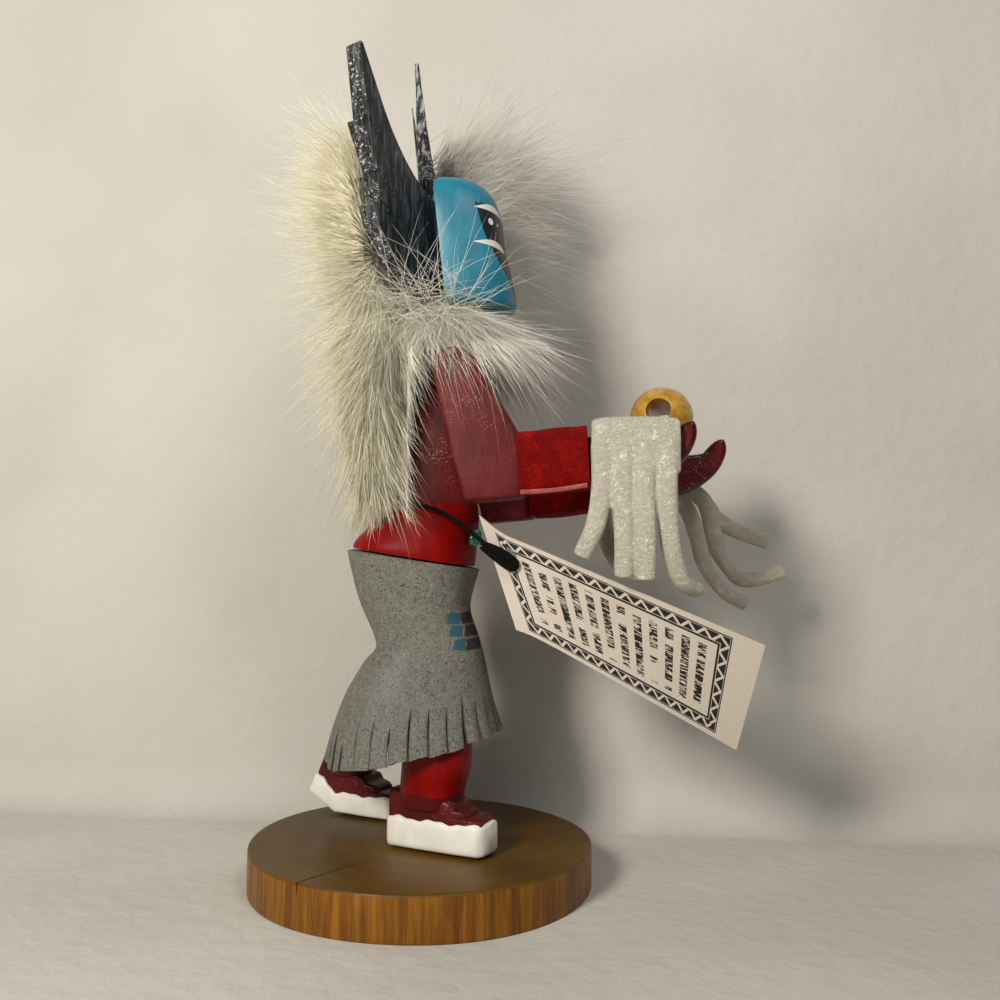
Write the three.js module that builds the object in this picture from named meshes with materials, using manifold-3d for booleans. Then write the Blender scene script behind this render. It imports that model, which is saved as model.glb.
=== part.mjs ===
// A small kachina doll: a carved and painted figure with a flat-backed mask, stepped wing boards,
// a suede kilt, a fur wrap, felt cuffs and a felt fringe with a bead over its hands, on a slice of wood.
// Millimetres, +Z up. The doll faces -Y and its right side is at -X.
// The origin is the centre of the base's underside.
import * as THREE from "three";
import { mergeVertices } from "three/addons/utils/BufferGeometryUtils.js";
import Module from "manifold-3d";

const wasm = await Module();
wasm.setup();

// ---------- driving dimensions ----------
const GAP = 0.3; // clearance between pieces that touch
const FACING = 20.4; // degrees that the right foot is turned out

const BASE_RADIUS = 29.8;
const BASE_HEIGHT = 7.1;
const BASE_SIDES = 48;

const SOLE_Z = BASE_HEIGHT + GAP;
const FOOT_WIDTH = 7.6;
const BALL = 0.66; // where along the foot, from the toe, a lifted heel starts to rise

const SUEDE = 1; // thickness of the kilt
const KILT_SIDES = 32;
const KILT_CUTS = 28;

const BOARD = 8; // thickness of the arm boards
const ARM_X = 12.2; // centre of each arm board from the middle
const FELT = 1; // thickness of the cuffs
const FRINGE_FELT = 1.8;

const WING_THICKNESS = 3.2;
const HEAD_LEAN = 5; // degrees that the back of the head and the wings lean back
const WING_ROOT = new THREE.Vector3(0, -1.5, 120);

const BEAD_RADIUS = 5.4;
const BEAD_HOLE = 1.75;

const TAG_THICKNESS = 0.4;
const ELASTIC = 1; // diameter of the tag's cord

const rad = THREE.MathUtils.degToRad;
const v3 = (x, y, z) => new THREE.Vector3(x, y, z);
const lerp = THREE.MathUtils.lerp;

// ---------- helpers ----------
function volumeOf(geometry) {
  const p = geometry.attributes.position;
  const index = geometry.index.array;
  const [a, b, c] = [v3(), v3(), v3()];
  let volume = 0;
  for (let i = 0; i < index.length; i += 3) {
    a.fromBufferAttribute(p, index[i]);
    b.fromBufferAttribute(p, index[i + 1]);
    c.fromBufferAttribute(p, index[i + 2]);
    volume += a.dot(b.cross(c)) / 6;
  }
  return volume;
}

// A skin over a stack of equal rings. Open ends get a flat fan; a looped stack meets itself.
function skin(rings, looped = false) {
  const sides = rings[0].length;
  const points = rings.flat();
  const index = [];
  const spans = looped ? rings.length : rings.length - 1;
  for (let i = 0; i < spans; i += 1) {
    const a = i * sides;
    const b = ((i + 1) % rings.length) * sides;
    for (let j = 0; j < sides; j += 1) {
      const k = (j + 1) % sides;
      index.push(a + j, a + k, b + k, a + j, b + k, b + j);
    }
  }
  if (!looped) {
    for (const [ring, first, flip] of [[rings[0], 0, true], [rings.at(-1), points.length - sides, false]]) {
      const centre = ring.reduce((sum, p) => sum.add(p), v3(0, 0, 0)).divideScalar(sides);
      points.push(centre);
      for (let j = 0; j < sides; j += 1) {
        const edge = [first + j, first + ((j + 1) % sides)];
        if (flip) edge.reverse();
        index.push(points.length - 1, ...edge);
      }
    }
  }
  const geometry = new THREE.BufferGeometry().setFromPoints(points);
  geometry.setIndex(index);
  if (volumeOf(geometry) < 0) {
    geometry.setIndex(index.reverse());
  }
  return geometry;
}

function toSolid(geometry) {
  const bare = geometry.clone();
  bare.deleteAttribute("normal");
  bare.deleteAttribute("uv");
  const merged = mergeVertices(bare, 1e-4);
  return new wasm.Manifold(new wasm.Mesh({
    numProp: 3,
    vertProperties: new Float32Array(merged.attributes.position.array),
    triVerts: new Uint32Array(merged.index.array),
  }));
}

function toGeometry(solid) {
  const mesh = solid.getMesh();
  const geometry = new THREE.BufferGeometry();
  geometry.setAttribute("position", new THREE.BufferAttribute(mesh.vertProperties, 3));
  geometry.setIndex(new THREE.BufferAttribute(mesh.triVerts, 1));
  return geometry;
}

const join = (geometries) => geometries.map(toSolid).reduce((sum, solid) => sum.add(solid));
const cut = (solid, geometries) => geometries.map(toSolid).reduce((rest, tool) => rest.subtract(tool), solid);

// A level oval ring; power squares it off, slope tips it along Y and turn rotates it about Z.
function oval({ x = 0, y = 0, z, rx, ry, power = 2, slope = 0, turn = 0, sides = 24 }) {
  const ring = [];
  for (let i = 0; i < sides; i += 1) {
    const angle = (i / sides) * Math.PI * 2;
    const c = Math.cos(angle);
    const s = Math.sin(angle);
    const px = rx * Math.sign(c) * Math.abs(c) ** (2 / power);
    const py = ry * Math.sign(s) * Math.abs(s) ** (2 / power);
    const qx = px * Math.cos(turn) - py * Math.sin(turn);
    const qy = px * Math.sin(turn) + py * Math.cos(turn);
    ring.push(v3(x + qx, y + qy, z + slope * qy));
  }
  return ring;
}

// A stack of ovals; grow makes it fatter all round, to leave clearance in a neighbour.
function ovals(rows, { grow = 0, ...shared } = {}) {
  const last = rows.length - 1;
  return skin(rows.map((row, i) => {
    const rise = (i === 0 ? -grow : 0) + (i === last ? grow : 0);
    return oval({ ...shared, ...row, z: row.z + rise, rx: row.rx + grow, ry: row.ry + grow });
  }));
}

// A board cut to an outline in the YZ plane, from x0 to x1, with its edges rounded over.
function board(shape, x0, x1, { round = 0.9, grow = 0 } = {}) {
  const geometry = new THREE.ExtrudeGeometry(shape, {
    depth: x1 - x0 - 2 * round,
    bevelThickness: round + grow,
    bevelSize: round,
    bevelOffset: grow - round,
    bevelSegments: 1,
    curveSegments: 4,
  });
  geometry.applyMatrix4(new THREE.Matrix4().makeBasis(v3(0, 1, 0), v3(0, 0, 1), v3(1, 0, 0)));
  return geometry.translate(x0 + round, 0, 0);
}

// ---------- base: a round slice of wood with the top edge rubbed round ----------
function base() {
  const level = (z, inset) => oval({ z, rx: 1, ry: 1, sides: BASE_SIDES }).map((p) => {
    const angle = Math.atan2(p.y, p.x);
    const wobble = 0.22 * Math.sin(2 * angle + 0.6) + 0.13 * Math.sin(5 * angle + 2);
    return v3(p.x, p.y, 0).multiplyScalar(BASE_RADIUS + wobble - inset).setZ(z);
  });
  return skin([
    level(0, 0.3),
    level(0.4, 0),
    level(BASE_HEIGHT - 0.9, 0),
    level(BASE_HEIGHT - 0.25, 0.35),
    level(BASE_HEIGHT, 1),
  ]);
}

// ---------- figure: feet, legs, hips, chest and neck, carved in one ----------
const HIP = { y: 1.75, z: 55.7, slope: 0.15 }; // where the red hips meet the top of the kilt

function trunk(grow = 0) {
  return ovals([
    { ...HIP, rx: 10.4, ry: 10.5 },
    { y: 1.3, z: 57.4, rx: 10.3, ry: 10.3, slope: 0.13 },
    { y: -0.9, z: 62.4, rx: 8.7, ry: 8.6, slope: 0.08 },
    { y: -1.5, z: 65, rx: 8, ry: 7.9, slope: 0.04 },
    { y: -2.8, z: 71, rx: 7.6, ry: 7.2 },
    { y: -5, z: 80, rx: 7.8, ry: 6.8 },
    { y: -6.6, z: 87, rx: 7.9, ry: 5.8 },
    { y: -7.4, z: 91.5, rx: 6, ry: 4.8 },
    { y: -7.9, z: 94, rx: 4.4, ry: 4.2 },
    { y: -8.1, z: 98.6, rx: 4.2, ry: 4 },
  ], { grow, power: 2.4, sides: 20 });
}

function underKilt() {
  return ovals([
    { y: -1, z: 37, rx: 6.4, ry: 5.4 },
    { y: -1, z: 41, rx: 7, ry: 6.3 },
    { y: 1, z: 49, rx: 7.6, ry: 7.4 },
    { y: 1.6, z: 58, rx: 8.6, ry: 8.8 },
  ], { power: 2.2, sides: 16 });
}

// The foot is built along its own length: station 0 is the toe, 1 the heel. Behind the ball a lifted
// foot also leans forward, square to its rising sole.
function foot({ x, y, heading, length, sole: thick, lift }) {
  const along = v3(Math.sin(heading), Math.cos(heading), 0);
  const across = v3(Math.cos(heading), -Math.sin(heading), 0);
  const centre = v3(x, y, 0);
  const section = (station, width, low, high) => {
    const behind = Math.max(0, (station - BALL) / (1 - BALL));
    const lean = (lift / ((1 - BALL) * length)) * behind;
    const ring = [];
    const sides = 12;
    for (let i = 0; i < sides; i += 1) {
      const angle = ((i + 0.5) / sides) * Math.PI * 2;
      const c = Math.cos(angle);
      const s = Math.sin(angle);
      const u = (width / 2) * Math.sign(c) * Math.abs(c) ** 0.25;
      const w = Math.sign(s) * Math.abs(s) ** 0.25;
      const height = lerp(low, high, (w + 1) / 2);
      const p = centre.clone()
        .addScaledVector(along, (station - 0.5) * length - lean * height)
        .addScaledVector(across, u);
      ring.push(p.setZ(SOLE_Z + lift * behind + height));
    }
    return ring;
  };
  const sole = skin([
    section(0, FOOT_WIDTH * 0.68, 0.2, thick),
    section(0.06, FOOT_WIDTH * 0.95, 0, thick),
    section(0.3, FOOT_WIDTH, 0, thick),
    section(BALL, FOOT_WIDTH, 0, thick),
    section(0.96, FOOT_WIDTH * 0.95, 0, thick),
    section(1, FOOT_WIDTH * 0.82, 0.2, thick),
  ]);
  const toeBox = skin([
    section(0.03, FOOT_WIDTH * 0.7, thick - 1.4, thick + 0.6),
    section(0.12, FOOT_WIDTH * 0.88, thick - 1.4, thick + 0.8),
    section(0.6, FOOT_WIDTH * 0.9, thick - 1.4, thick + 1),
    section(0.97, FOOT_WIDTH * 0.8, thick - 1.4, thick + 0.8),
  ]);
  const instep = skin([
    section(0.2, FOOT_WIDTH * 0.72, thick - 1, thick + 1.7),
    section(0.32, FOOT_WIDTH * 0.86, thick - 1, thick + 2.6),
    section(0.42, FOOT_WIDTH * 0.9, thick - 1, thick + 3.6),
    section(0.7, FOOT_WIDTH * 0.9, thick - 1, thick + 4.4),
    section(0.98, FOOT_WIDTH * 0.76, thick - 1, thick + 4.4),
  ]);
  return [sole, toeBox, instep];
}

const RIGHT_FOOT = { x: -6.3, y: -6, heading: rad(FACING), length: 18.2, sole: 5.2, lift: 0 };
const LEFT_FOOT = { x: 15.7, y: 14.9, heading: rad(FACING + 2.6), length: 19.6, sole: 4, lift: 3.3 };

function rightLeg() {
  return ovals([
    { x: -5.3, y: -3.9, z: 14.5, rx: 4.5, ry: 5.4 },
    { x: -5.5, y: -3.9, z: 17, rx: 4.7, ry: 5.5 },
    { x: -6.3, y: -4.3, z: 23, rx: 5.1, ry: 5.9 },
    { x: -5, y: -3.2, z: 31, rx: 4.5, ry: 5 },
    { x: -3.6, y: -1.9, z: 40, rx: 3.6, ry: 4.2 },
  ], { power: 2.3, turn: -RIGHT_FOOT.heading, sides: 18 });
}

function leftLeg() {
  return ovals([
    { x: 15.8, y: 16.8, z: 14, rx: 3.4, ry: 4 },
    { x: 14.6, y: 15.2, z: 18, rx: 3.3, ry: 3.6 },
    { x: 12.4, y: 12.4, z: 22, rx: 3.2, ry: 3.4 },
    { x: 8, y: 6.3, z: 31, rx: 3.2, ry: 3.4 },
    { x: 3.6, y: 1.2, z: 40, rx: 3.4, ry: 3.6 },
  ], { power: 2.3, turn: -LEFT_FOOT.heading, sides: 16 });
}

// ---------- kilt: a suede tube, pinched behind the knees, its hem cut into a fringe ----------
const KILT_ROWS = [
  { x: 0, y: 1.75, z: 55.2, rx: 10.5, ry: 10.65, slope: 0.15, bulge: 0 },
  { x: 0, y: 1.2, z: 48, rx: 9.7, ry: 9.2, slope: 0.11, bulge: 0 },
  { x: 0, y: -1.3, z: 41, rx: 8.9, ry: 8.4, slope: -0.04, bulge: 0 },
  { x: 0.1, y: -0.7, z: 37, rx: 10.2, ry: 10.2, slope: -0.05, bulge: 1.8 },
  { x: 0.2, y: 0.2, z: 32, rx: 12.2, ry: 12.2, slope: -0.06, bulge: 3.6 },
  { x: 0.4, y: 0.7, z: 27, rx: 13.9, ry: 13.7, slope: -0.14, bulge: 5.2 },
  { x: 0.5, y: 0.8, z: 22.6, rx: 15, ry: 14.8, slope: -0.225, bulge: 6.6 },
];
const STRIDE = Math.atan2(11.5, 11); // direction in which the trailing leg pushes the kilt out
const STRIDE_SPREAD = 0.55;

function kiltRing(row, inset, drop = 0) {
  const ring = oval({ ...row, rx: row.rx - inset, ry: row.ry - inset, sides: KILT_SIDES });
  return ring.map((p) => {
    const away = v3(p.x - row.x, p.y - row.y, 0);
    const turn = Math.atan2(away.y, away.x) - STRIDE;
    const push = row.bulge * Math.exp(-((turn / STRIDE_SPREAD) ** 2));
    return p.addScaledVector(away.normalize(), push).add(v3(0, 0, -drop));
  });
}

function kiltTube(grow = 0) {
  const last = KILT_ROWS.length - 1;
  const end = (i) => (i === 0 ? -grow : 0) + (i === last ? grow : 0);
  const outer = KILT_ROWS.map((row, i) => kiltRing(row, -grow, end(i)));
  const inner = KILT_ROWS.map((row, i) => kiltRing(row, SUEDE + grow, end(i)));
  return skin([...outer, ...inner.reverse()], true);
}

// One cut of the fringe: a thin wedge through the wall, open at the hem.
function kiltCut(number) {
  const angle = ((number + 0.5) / KILT_CUTS) * Math.PI * 2;
  const hem = KILT_ROWS.at(-1);
  const height = 7 + 2.4 * Math.sin(number * 2.3) + 1.5 * Math.sin(number * 5.1);
  const width = 0.75 + 0.3 * Math.sin(number * 3.7);
  const blade = new THREE.Shape();
  blade.moveTo(-width, -4);
  blade.lineTo(width, -4);
  blade.lineTo(0, height);
  const geometry = new THREE.ExtrudeGeometry(blade, { depth: 17, bevelEnabled: false });
  const rim = hem.slope * hem.ry * Math.sin(angle);
  geometry.rotateX(Math.PI / 2);
  geometry.translate(0, -6, 0);
  geometry.rotateZ(angle + Math.PI / 2);
  return geometry.translate(hem.x, hem.y, hem.z + rim);
}

function kilt() {
  const cuts = Array.from({ length: KILT_CUTS }, (_, number) => kiltCut(number));
  return toGeometry(cut(toSolid(kiltTube()), cuts));
}

function figure() {
  const body = join([
    trunk(), underKilt(), rightLeg(), leftLeg(),
    ...foot(RIGHT_FOOT), ...foot(LEFT_FOOT),
  ]);
  return toGeometry(cut(body, [kiltTube(GAP)]));
}

// ---------- head: a flat-backed case mask, round in front, with the wings set against its back ----------
// The back is a shallow ridge that the two wings are set against.
function headRing({ z, front, half, back }) {
  const sides = 20;
  const ridge = WING_ROOT.y + (z - WING_ROOT.z) * Math.tan(rad(HEAD_LEAN)) - GAP;
  const ring = [v3(0, Math.max(back, ridge), z)];
  for (let i = 0; i <= sides; i += 1) {
    const angle = Math.PI * (i / sides);
    const x = -half * Math.sign(Math.cos(angle)) * Math.abs(Math.cos(angle)) ** 0.8;
    ring.push(v3(x, lerp(back, front, Math.sin(angle) ** 0.85), z));
  }
  return ring;
}

const HEAD_ROWS = [
  { z: 98.9, front: -15.2, half: 7.6, back: -4.7 },
  { z: 100, front: -15.9, half: 8.3, back: -4.6 },
  { z: 104, front: -15.4, half: 8.5, back: -4.1 },
  { z: 110, front: -14, half: 8.5, back: -3.4 },
  { z: 115, front: -13.3, half: 8.4, back: -2.8 },
  { z: 118.4, front: -12.3, half: 7.9, back: -2.4 },
  { z: 120.6, front: -10.6, half: 6.9, back: -2.3 },
  { z: 121.8, front: -8.4, half: 5.2, back: -2.8 },
];

function mask(grow = 0) {
  const last = HEAD_ROWS.length - 1;
  return skin(HEAD_ROWS.map((row, i) => headRing({
    z: row.z + (i === 0 ? -grow : 0) + (i === last ? grow : 0),
    front: row.front - grow,
    half: row.half + grow,
    back: row.back + grow,
  })));
}

// ---------- wings: boards sawn into four stepped feathers along the outer edge ----------
// Distances from the root: out to the side, then up.
const WING_TIP = [19.2, 21.3];
const FEATHERS = [
  { foot: [18.7, 8.4], slit: [15, 5.6], ledge: [20.4, 7.8] },
  { foot: [17, -0.5], slit: [13.7, -2.4], ledge: [18.3, -0.9] },
  { foot: [16.5, -5.1], slit: [11.8, -9.4], ledge: [18.8, -5.8] },
];
const SLIT = 0.55;

function wingShape(slits = true) {
  const shape = new THREE.Shape();
  shape.moveTo(0, -1);
  shape.bezierCurveTo(5.5, 0.2, 10.5, 5.4, 13.7, 11.4);
  shape.quadraticCurveTo(16.4, 16.6, WING_TIP[0] - 0.7, WING_TIP[1]);
  shape.lineTo(...WING_TIP);
  for (const { foot: low, slit, ledge } of FEATHERS) {
    shape.lineTo(low[0], low[1] + SLIT);
    if (slits) {
      shape.lineTo(slit[0], slit[1]);
      shape.lineTo(low[0], low[1]);
    }
    shape.lineTo(ledge[0], ledge[1]);
  }
  shape.quadraticCurveTo(18, -13, 9.4, -17.6);
  shape.quadraticCurveTo(5, -19.6, 0, -19);
  return shape;
}

// side is -1 for the right wing and 1 for the left. Degrees: roll turns the wing upright in its own
// plane, and sweep turns it back from the plane of the face.
function wing({ side, rise, roll, sweep, grow = 0 }) {
  const geometry = new THREE.ExtrudeGeometry(wingShape(grow === 0), {
    depth: WING_THICKNESS,
    curveSegments: 7,
    bevelEnabled: grow > 0,
    bevelSize: grow,
    bevelThickness: grow,
    bevelSegments: 1,
  });
  geometry.translate(0, 0, -WING_THICKNESS);
  geometry.rotateZ(rad(roll));
  geometry.rotateX(Math.PI / 2);
  if (side < 0) {
    geometry.scale(-1, 1, 1);
    const count = geometry.attributes.position.count;
    if (geometry.index === null) geometry.setIndex([...Array(count).keys()]);
    geometry.index.array.reverse();
  }
  geometry.rotateZ(rad(side * sweep));
  geometry.rotateX(rad(-HEAD_LEAN));
  return geometry.translate(WING_ROOT.x, WING_ROOT.y, WING_ROOT.z + rise);
}

const RIGHT_WING = { side: -1, rise: 0, roll: 0, sweep: 25 };
const LEFT_WING = { side: 1, rise: 4.5, roll: 19, sweep: 11 };

// Each wing is planed flat where the two meet behind the middle of the head.
function rootPlane(side) {
  const box = new THREE.BoxGeometry(60, 60, 120);
  return box.translate(-side * (30 - GAP / 2), 0, WING_ROOT.z);
}

const trimmedWing = (pose) => toGeometry(cut(toSolid(wing(pose)), [rootPlane(pose.side)]));

function head() {
  return toGeometry(cut(toSolid(mask()), [
    wing({ ...RIGHT_WING, grow: GAP }),
    wing({ ...LEFT_WING, grow: GAP }),
    trunk(GAP),
  ]));
}

// ---------- arms: L-shaped boards with cupped hands, palms up ----------
const CUFF = { start: -17.8, end: -29, step: FELT + GAP };

// drop lowers the forearm, reach lengthens the hand.
function armShape({ drop, reach }) {
  const tip = -46 - reach;
  const shape = new THREE.Shape();
  shape.moveTo(-3.6, 87.5);
  shape.bezierCurveTo(-4.6, 83, -5.2, 78, -9.3, 64.4 - drop);
  shape.lineTo(-18.6, 65.3 - drop);
  shape.lineTo(-18.7, 67.2 - drop);
  shape.lineTo(tip + 14, 67.9 - drop);
  shape.bezierCurveTo(tip + 8, 68 - drop / 3, tip + 3.4, 68.3, tip + 1, 72.4);
  shape.bezierCurveTo(tip - 0.2, 74.6, tip - 0.2, 76, tip + 0.4, 77.2);
  shape.bezierCurveTo(tip + 1.6, 77.6, tip + 2.6, 76.6, tip + 4.2, 75.2 - drop * 0.4);
  shape.quadraticCurveTo(tip + 6, 74.6 - drop * 0.6, -38, 75.5 - drop);
  shape.lineTo(-17.9, 74 - drop);
  shape.lineTo(-17.6, 75.9 - drop);
  shape.bezierCurveTo(-15.5, 80 - drop, -12.5, 83.5, -11, 87.5);
  shape.quadraticCurveTo(-7.5, 92, -3.6, 87.5);
  return shape;
}

const RIGHT_ARM = { side: -1, drop: 0, reach: 0 };
const LEFT_ARM = { side: 1, drop: 2.4, reach: 7.4 };

function arm({ side, grow = 0, ...pose }) {
  return board(armShape(pose), side * ARM_X - BOARD / 2, side * ARM_X + BOARD / 2, { grow });
}

// ---------- cuffs: a strip of felt round each forearm ----------
function cuff({ side, drop, grow = 0 }) {
  const ring = (y, middle, half, inset) => {
    const level = oval({ z: 0, rx: BOARD / 2 + CUFF.step - inset, ry: half - inset, power: 9, sides: 16 });
    return level.map((p) => v3(side * ARM_X + p.x, y + 0.06 * p.y, middle + p.y - drop));
  };
  const rows = [[CUFF.start, 70.6, 4.9], [(CUFF.start + CUFF.end) / 2, 71.2, 4.95], [CUFF.end, 71.7, 4.9]];
  rows[0][0] += grow;
  rows.at(-1)[0] -= grow;
  const outer = rows.map(([y, middle, half]) => ring(y, middle, half, -grow));
  const inner = rows.map(([y, middle, half]) => ring(y, middle, half, FELT + grow));
  return skin([...outer, ...inner.reverse()], true);
}

const clearOfArm = (pose) => [cuff({ ...pose, grow: GAP }), trunk(GAP)];
const trimmedArm = (pose) => toGeometry(cut(toSolid(arm(pose)), clearOfArm(pose)));

// ---------- fringe: one piece of felt laid over both hands, slit into strips at both sides ----------
const SADDLE = { back: -29.4, front: -43.4 };
const SADDLE_LINE = [
  [-17.6, 69], [-17.6, 75.2], [-16.2, 77], [-9, 77.1], [-5, 74.4], [-1, 73.1], [3, 73.1],
  [8.5, 74.3], [15.8, 74.4], [17.6, 72.6], [17.6, 68],
];

function saddle() {
  const half = FRINGE_FELT / 2;
  const sides = SADDLE_LINE.map(([x, z], i) => {
    const [ax, az] = SADDLE_LINE[Math.max(i - 1, 0)];
    const [bx, bz] = SADDLE_LINE[Math.min(i + 1, SADDLE_LINE.length - 1)];
    const length = Math.hypot(bx - ax, bz - az);
    const nx = (-(bz - az) / length) * half;
    const nz = ((bx - ax) / length) * half;
    return { top: [x + nx, z + nz], bottom: [x - nx, z - nz] };
  });
  const section = new THREE.Shape();
  section.moveTo(...sides[0].top);
  sides.slice(1).forEach(({ top }) => section.lineTo(...top));
  sides.reverse().forEach(({ bottom }) => section.lineTo(...bottom));
  const geometry = new THREE.ExtrudeGeometry(section, {
    depth: SADDLE.back - SADDLE.front,
    bevelEnabled: false,
  });
  return geometry.rotateX(Math.PI / 2).translate(0, SADDLE.back, 0);
}

// A strip hangs from the saddle along a curve; its width turns from the first direction to the last.
function strip({ points, width = 3.1, from = v3(0, 1, 0), to = from }) {
  const curve = new THREE.CatmullRomCurve3(points.map((p) => v3(...p)));
  const steps = 7;
  const rings = [];
  for (let i = 0; i <= steps; i += 1) {
    const t = i / steps;
    const at = curve.getPointAt(t);
    const tangent = curve.getTangentAt(t);
    const across = from.clone().lerp(to, t);
    across.addScaledVector(tangent, -across.dot(tangent)).normalize().multiplyScalar(width / 2);
    const out = tangent.clone().cross(across).normalize().multiplyScalar(FRINGE_FELT / 2 - 0.05);
    rings.push([
      at.clone().add(across).add(out),
      at.clone().sub(across).add(out),
      at.clone().sub(across).sub(out),
      at.clone().add(across).sub(out),
    ]);
  }
  return skin(rings);
}

const STRIPS = [
  { points: [[-17.6, -31, 71], [-17.4, -30.4, 63], [-15.6, -28, 56.2]] },
  { points: [[-17.6, -34.4, 71], [-18, -34.5, 62], [-16.4, -33.9, 53.6]] },
  { points: [[-17.6, -37.9, 71], [-18.2, -38.2, 62], [-16.9, -38.4, 53.2]] },
  { points: [[-17.6, -41.5, 71], [-16.8, -41.9, 62], [-13.6, -43.2, 54], [-10.4, -45, 51]] },
  { points: [[17.6, -31, 70.4], [17.8, -31.4, 62], [16.2, -34, 55], [13.4, -38.4, 52.4]] },
  {
    points: [[17.6, -34.4, 70.4], [17.8, -37.6, 63], [17, -44.8, 56.4], [16.4, -50, 51.2], [16, -57.6, 47.6]],
    to: v3(0.85, 0, 0.5),
  },
  {
    points: [[17.6, -37.9, 70.4], [18.4, -42.6, 64.5], [19.4, -49.6, 58.2], [20, -55.4, 53.4], [20.6, -64.4, 54]],
    to: v3(0.5, 0.2, 0.85),
  },
  {
    points: [[17.6, -41.5, 70.4], [19, -45.4, 66.4], [21.4, -52.4, 61.6], [23, -61.6, 58.8]],
    to: v3(0.1, 0.2, 1),
  },
];

const fringe = () => toGeometry(cut(join([saddle(), ...STRIPS.map(strip)]), [
  arm({ ...RIGHT_ARM, grow: GAP }), arm({ ...LEFT_ARM, grow: GAP }),
]));

// ---------- bead: a turned wooden bead, its hole towards the doll's right ----------
const BEAD_CENTRE = v3(-1, -41.3, 79.7);

function bead() {
  const profile = [];
  const steps = 8;
  const edge = Math.asin(BEAD_HOLE / BEAD_RADIUS) + 0.06;
  for (let i = 0; i <= steps; i += 1) {
    const angle = edge + (Math.PI - 2 * edge) * (i / steps);
    profile.push(new THREE.Vector2(BEAD_RADIUS * Math.sin(angle), BEAD_RADIUS * Math.cos(angle)));
  }
  profile.push(new THREE.Vector2(BEAD_HOLE, -BEAD_RADIUS * Math.cos(edge) + 0.35));
  profile.push(new THREE.Vector2(BEAD_HOLE, BEAD_RADIUS * Math.cos(edge) - 0.35));
  profile.push(profile[0].clone());
  const geometry = new THREE.LatheGeometry(profile.reverse(), 18);
  geometry.rotateZ(Math.PI / 2);
  geometry.rotateY(rad(9));
  geometry.rotateZ(rad(-10));
  return geometry.translate(...BEAD_CENTRE);
}

// ---------- belt stone: a small green chip on the front of the waist ----------
function beltStone() {
  const geometry = new THREE.SphereGeometry(1, 12, 8);
  geometry.scale(1.5, 0.8, 1.5);
  geometry.rotateX(rad(16));
  geometry.rotateZ(rad(-26));
  return geometry.translate(-4.9, -9.7, 58.9);
}

// ---------- tag: a card with a punched hole, on a loop of elastic round the waist ----------
// The card is a little curled: its two long edges follow their own gentle curves.
const TAG = {
  top: [v3(-9.6, -10.9, 62.7), v3(-10.6, -15, 59.6), v3(-11.6, -20.8, 57.1), v3(-16.5, -56, 42.4)],
  bottom: [v3(-10.4, -17.2, 43.9), v3(-9.6, -24.4, 40.6), v3(-6.8, -52.8, 24.9)],
  hole: { station: 0.085, across: 0.27, radius: 1.6 },
};
const TAG_STEPS = 12;

function tagPoint(station, across) {
  const top = new THREE.CatmullRomCurve3(TAG.top).getPointAt(station);
  const bottom = new THREE.CatmullRomCurve3(TAG.bottom).getPointAt(station);
  return top.lerp(bottom, across);
}

function tagNormal(station) {
  const ahead = tagPoint(Math.min(station + 0.02, 1), 0.5).sub(tagPoint(Math.max(station - 0.02, 0), 0.5));
  const down = tagPoint(station, 1).sub(tagPoint(station, 0));
  return ahead.cross(down).normalize();
}

function tag() {
  const rings = [];
  for (let i = 0; i <= TAG_STEPS; i += 1) {
    const station = i / TAG_STEPS;
    const out = tagNormal(station).multiplyScalar(TAG_THICKNESS / 2);
    const [top, bottom] = [tagPoint(station, 0), tagPoint(station, 1)];
    rings.push([
      top.clone().add(out), bottom.clone().add(out),
      bottom.clone().sub(out), top.clone().sub(out),
    ]);
  }
  const { station, across, radius } = TAG.hole;
  const punch = new THREE.CylinderGeometry(radius, radius, 4, 14);
  punch.applyQuaternion(new THREE.Quaternion().setFromUnitVectors(v3(0, 1, 0), tagNormal(station)));
  punch.translate(...tagPoint(station, across));
  return toGeometry(cut(toSolid(skin(rings)), [punch]));
}

function tagCord(grow = 0) {
  const hole = tagPoint(TAG.hole.station, TAG.hole.across);
  const route = new THREE.CatmullRomCurve3([
    v3(0, 7.6, 67.2),
    v3(-6, 5.9, 66.3),
    v3(-9.2, 0.2, 64.6),
    v3(-9.9, -5.6, 62.6),
    v3(hole.x - 1.4, hole.y + 2, hole.z + 1.2),
    hole,
    v3(hole.x + 1.8, hole.y + 0.4, hole.z + 0.6),
    v3(-4, -11.2, 61),
    v3(1.5, -10.7, 62),
    v3(7, -7.9, 63.6),
    v3(9.6, -1.2, 65.2),
    v3(6.4, 5.6, 66.6),
  ], true);
  return new THREE.TubeGeometry(route, 38, ELASTIC / 2 + grow, 6, true);
}

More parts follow.
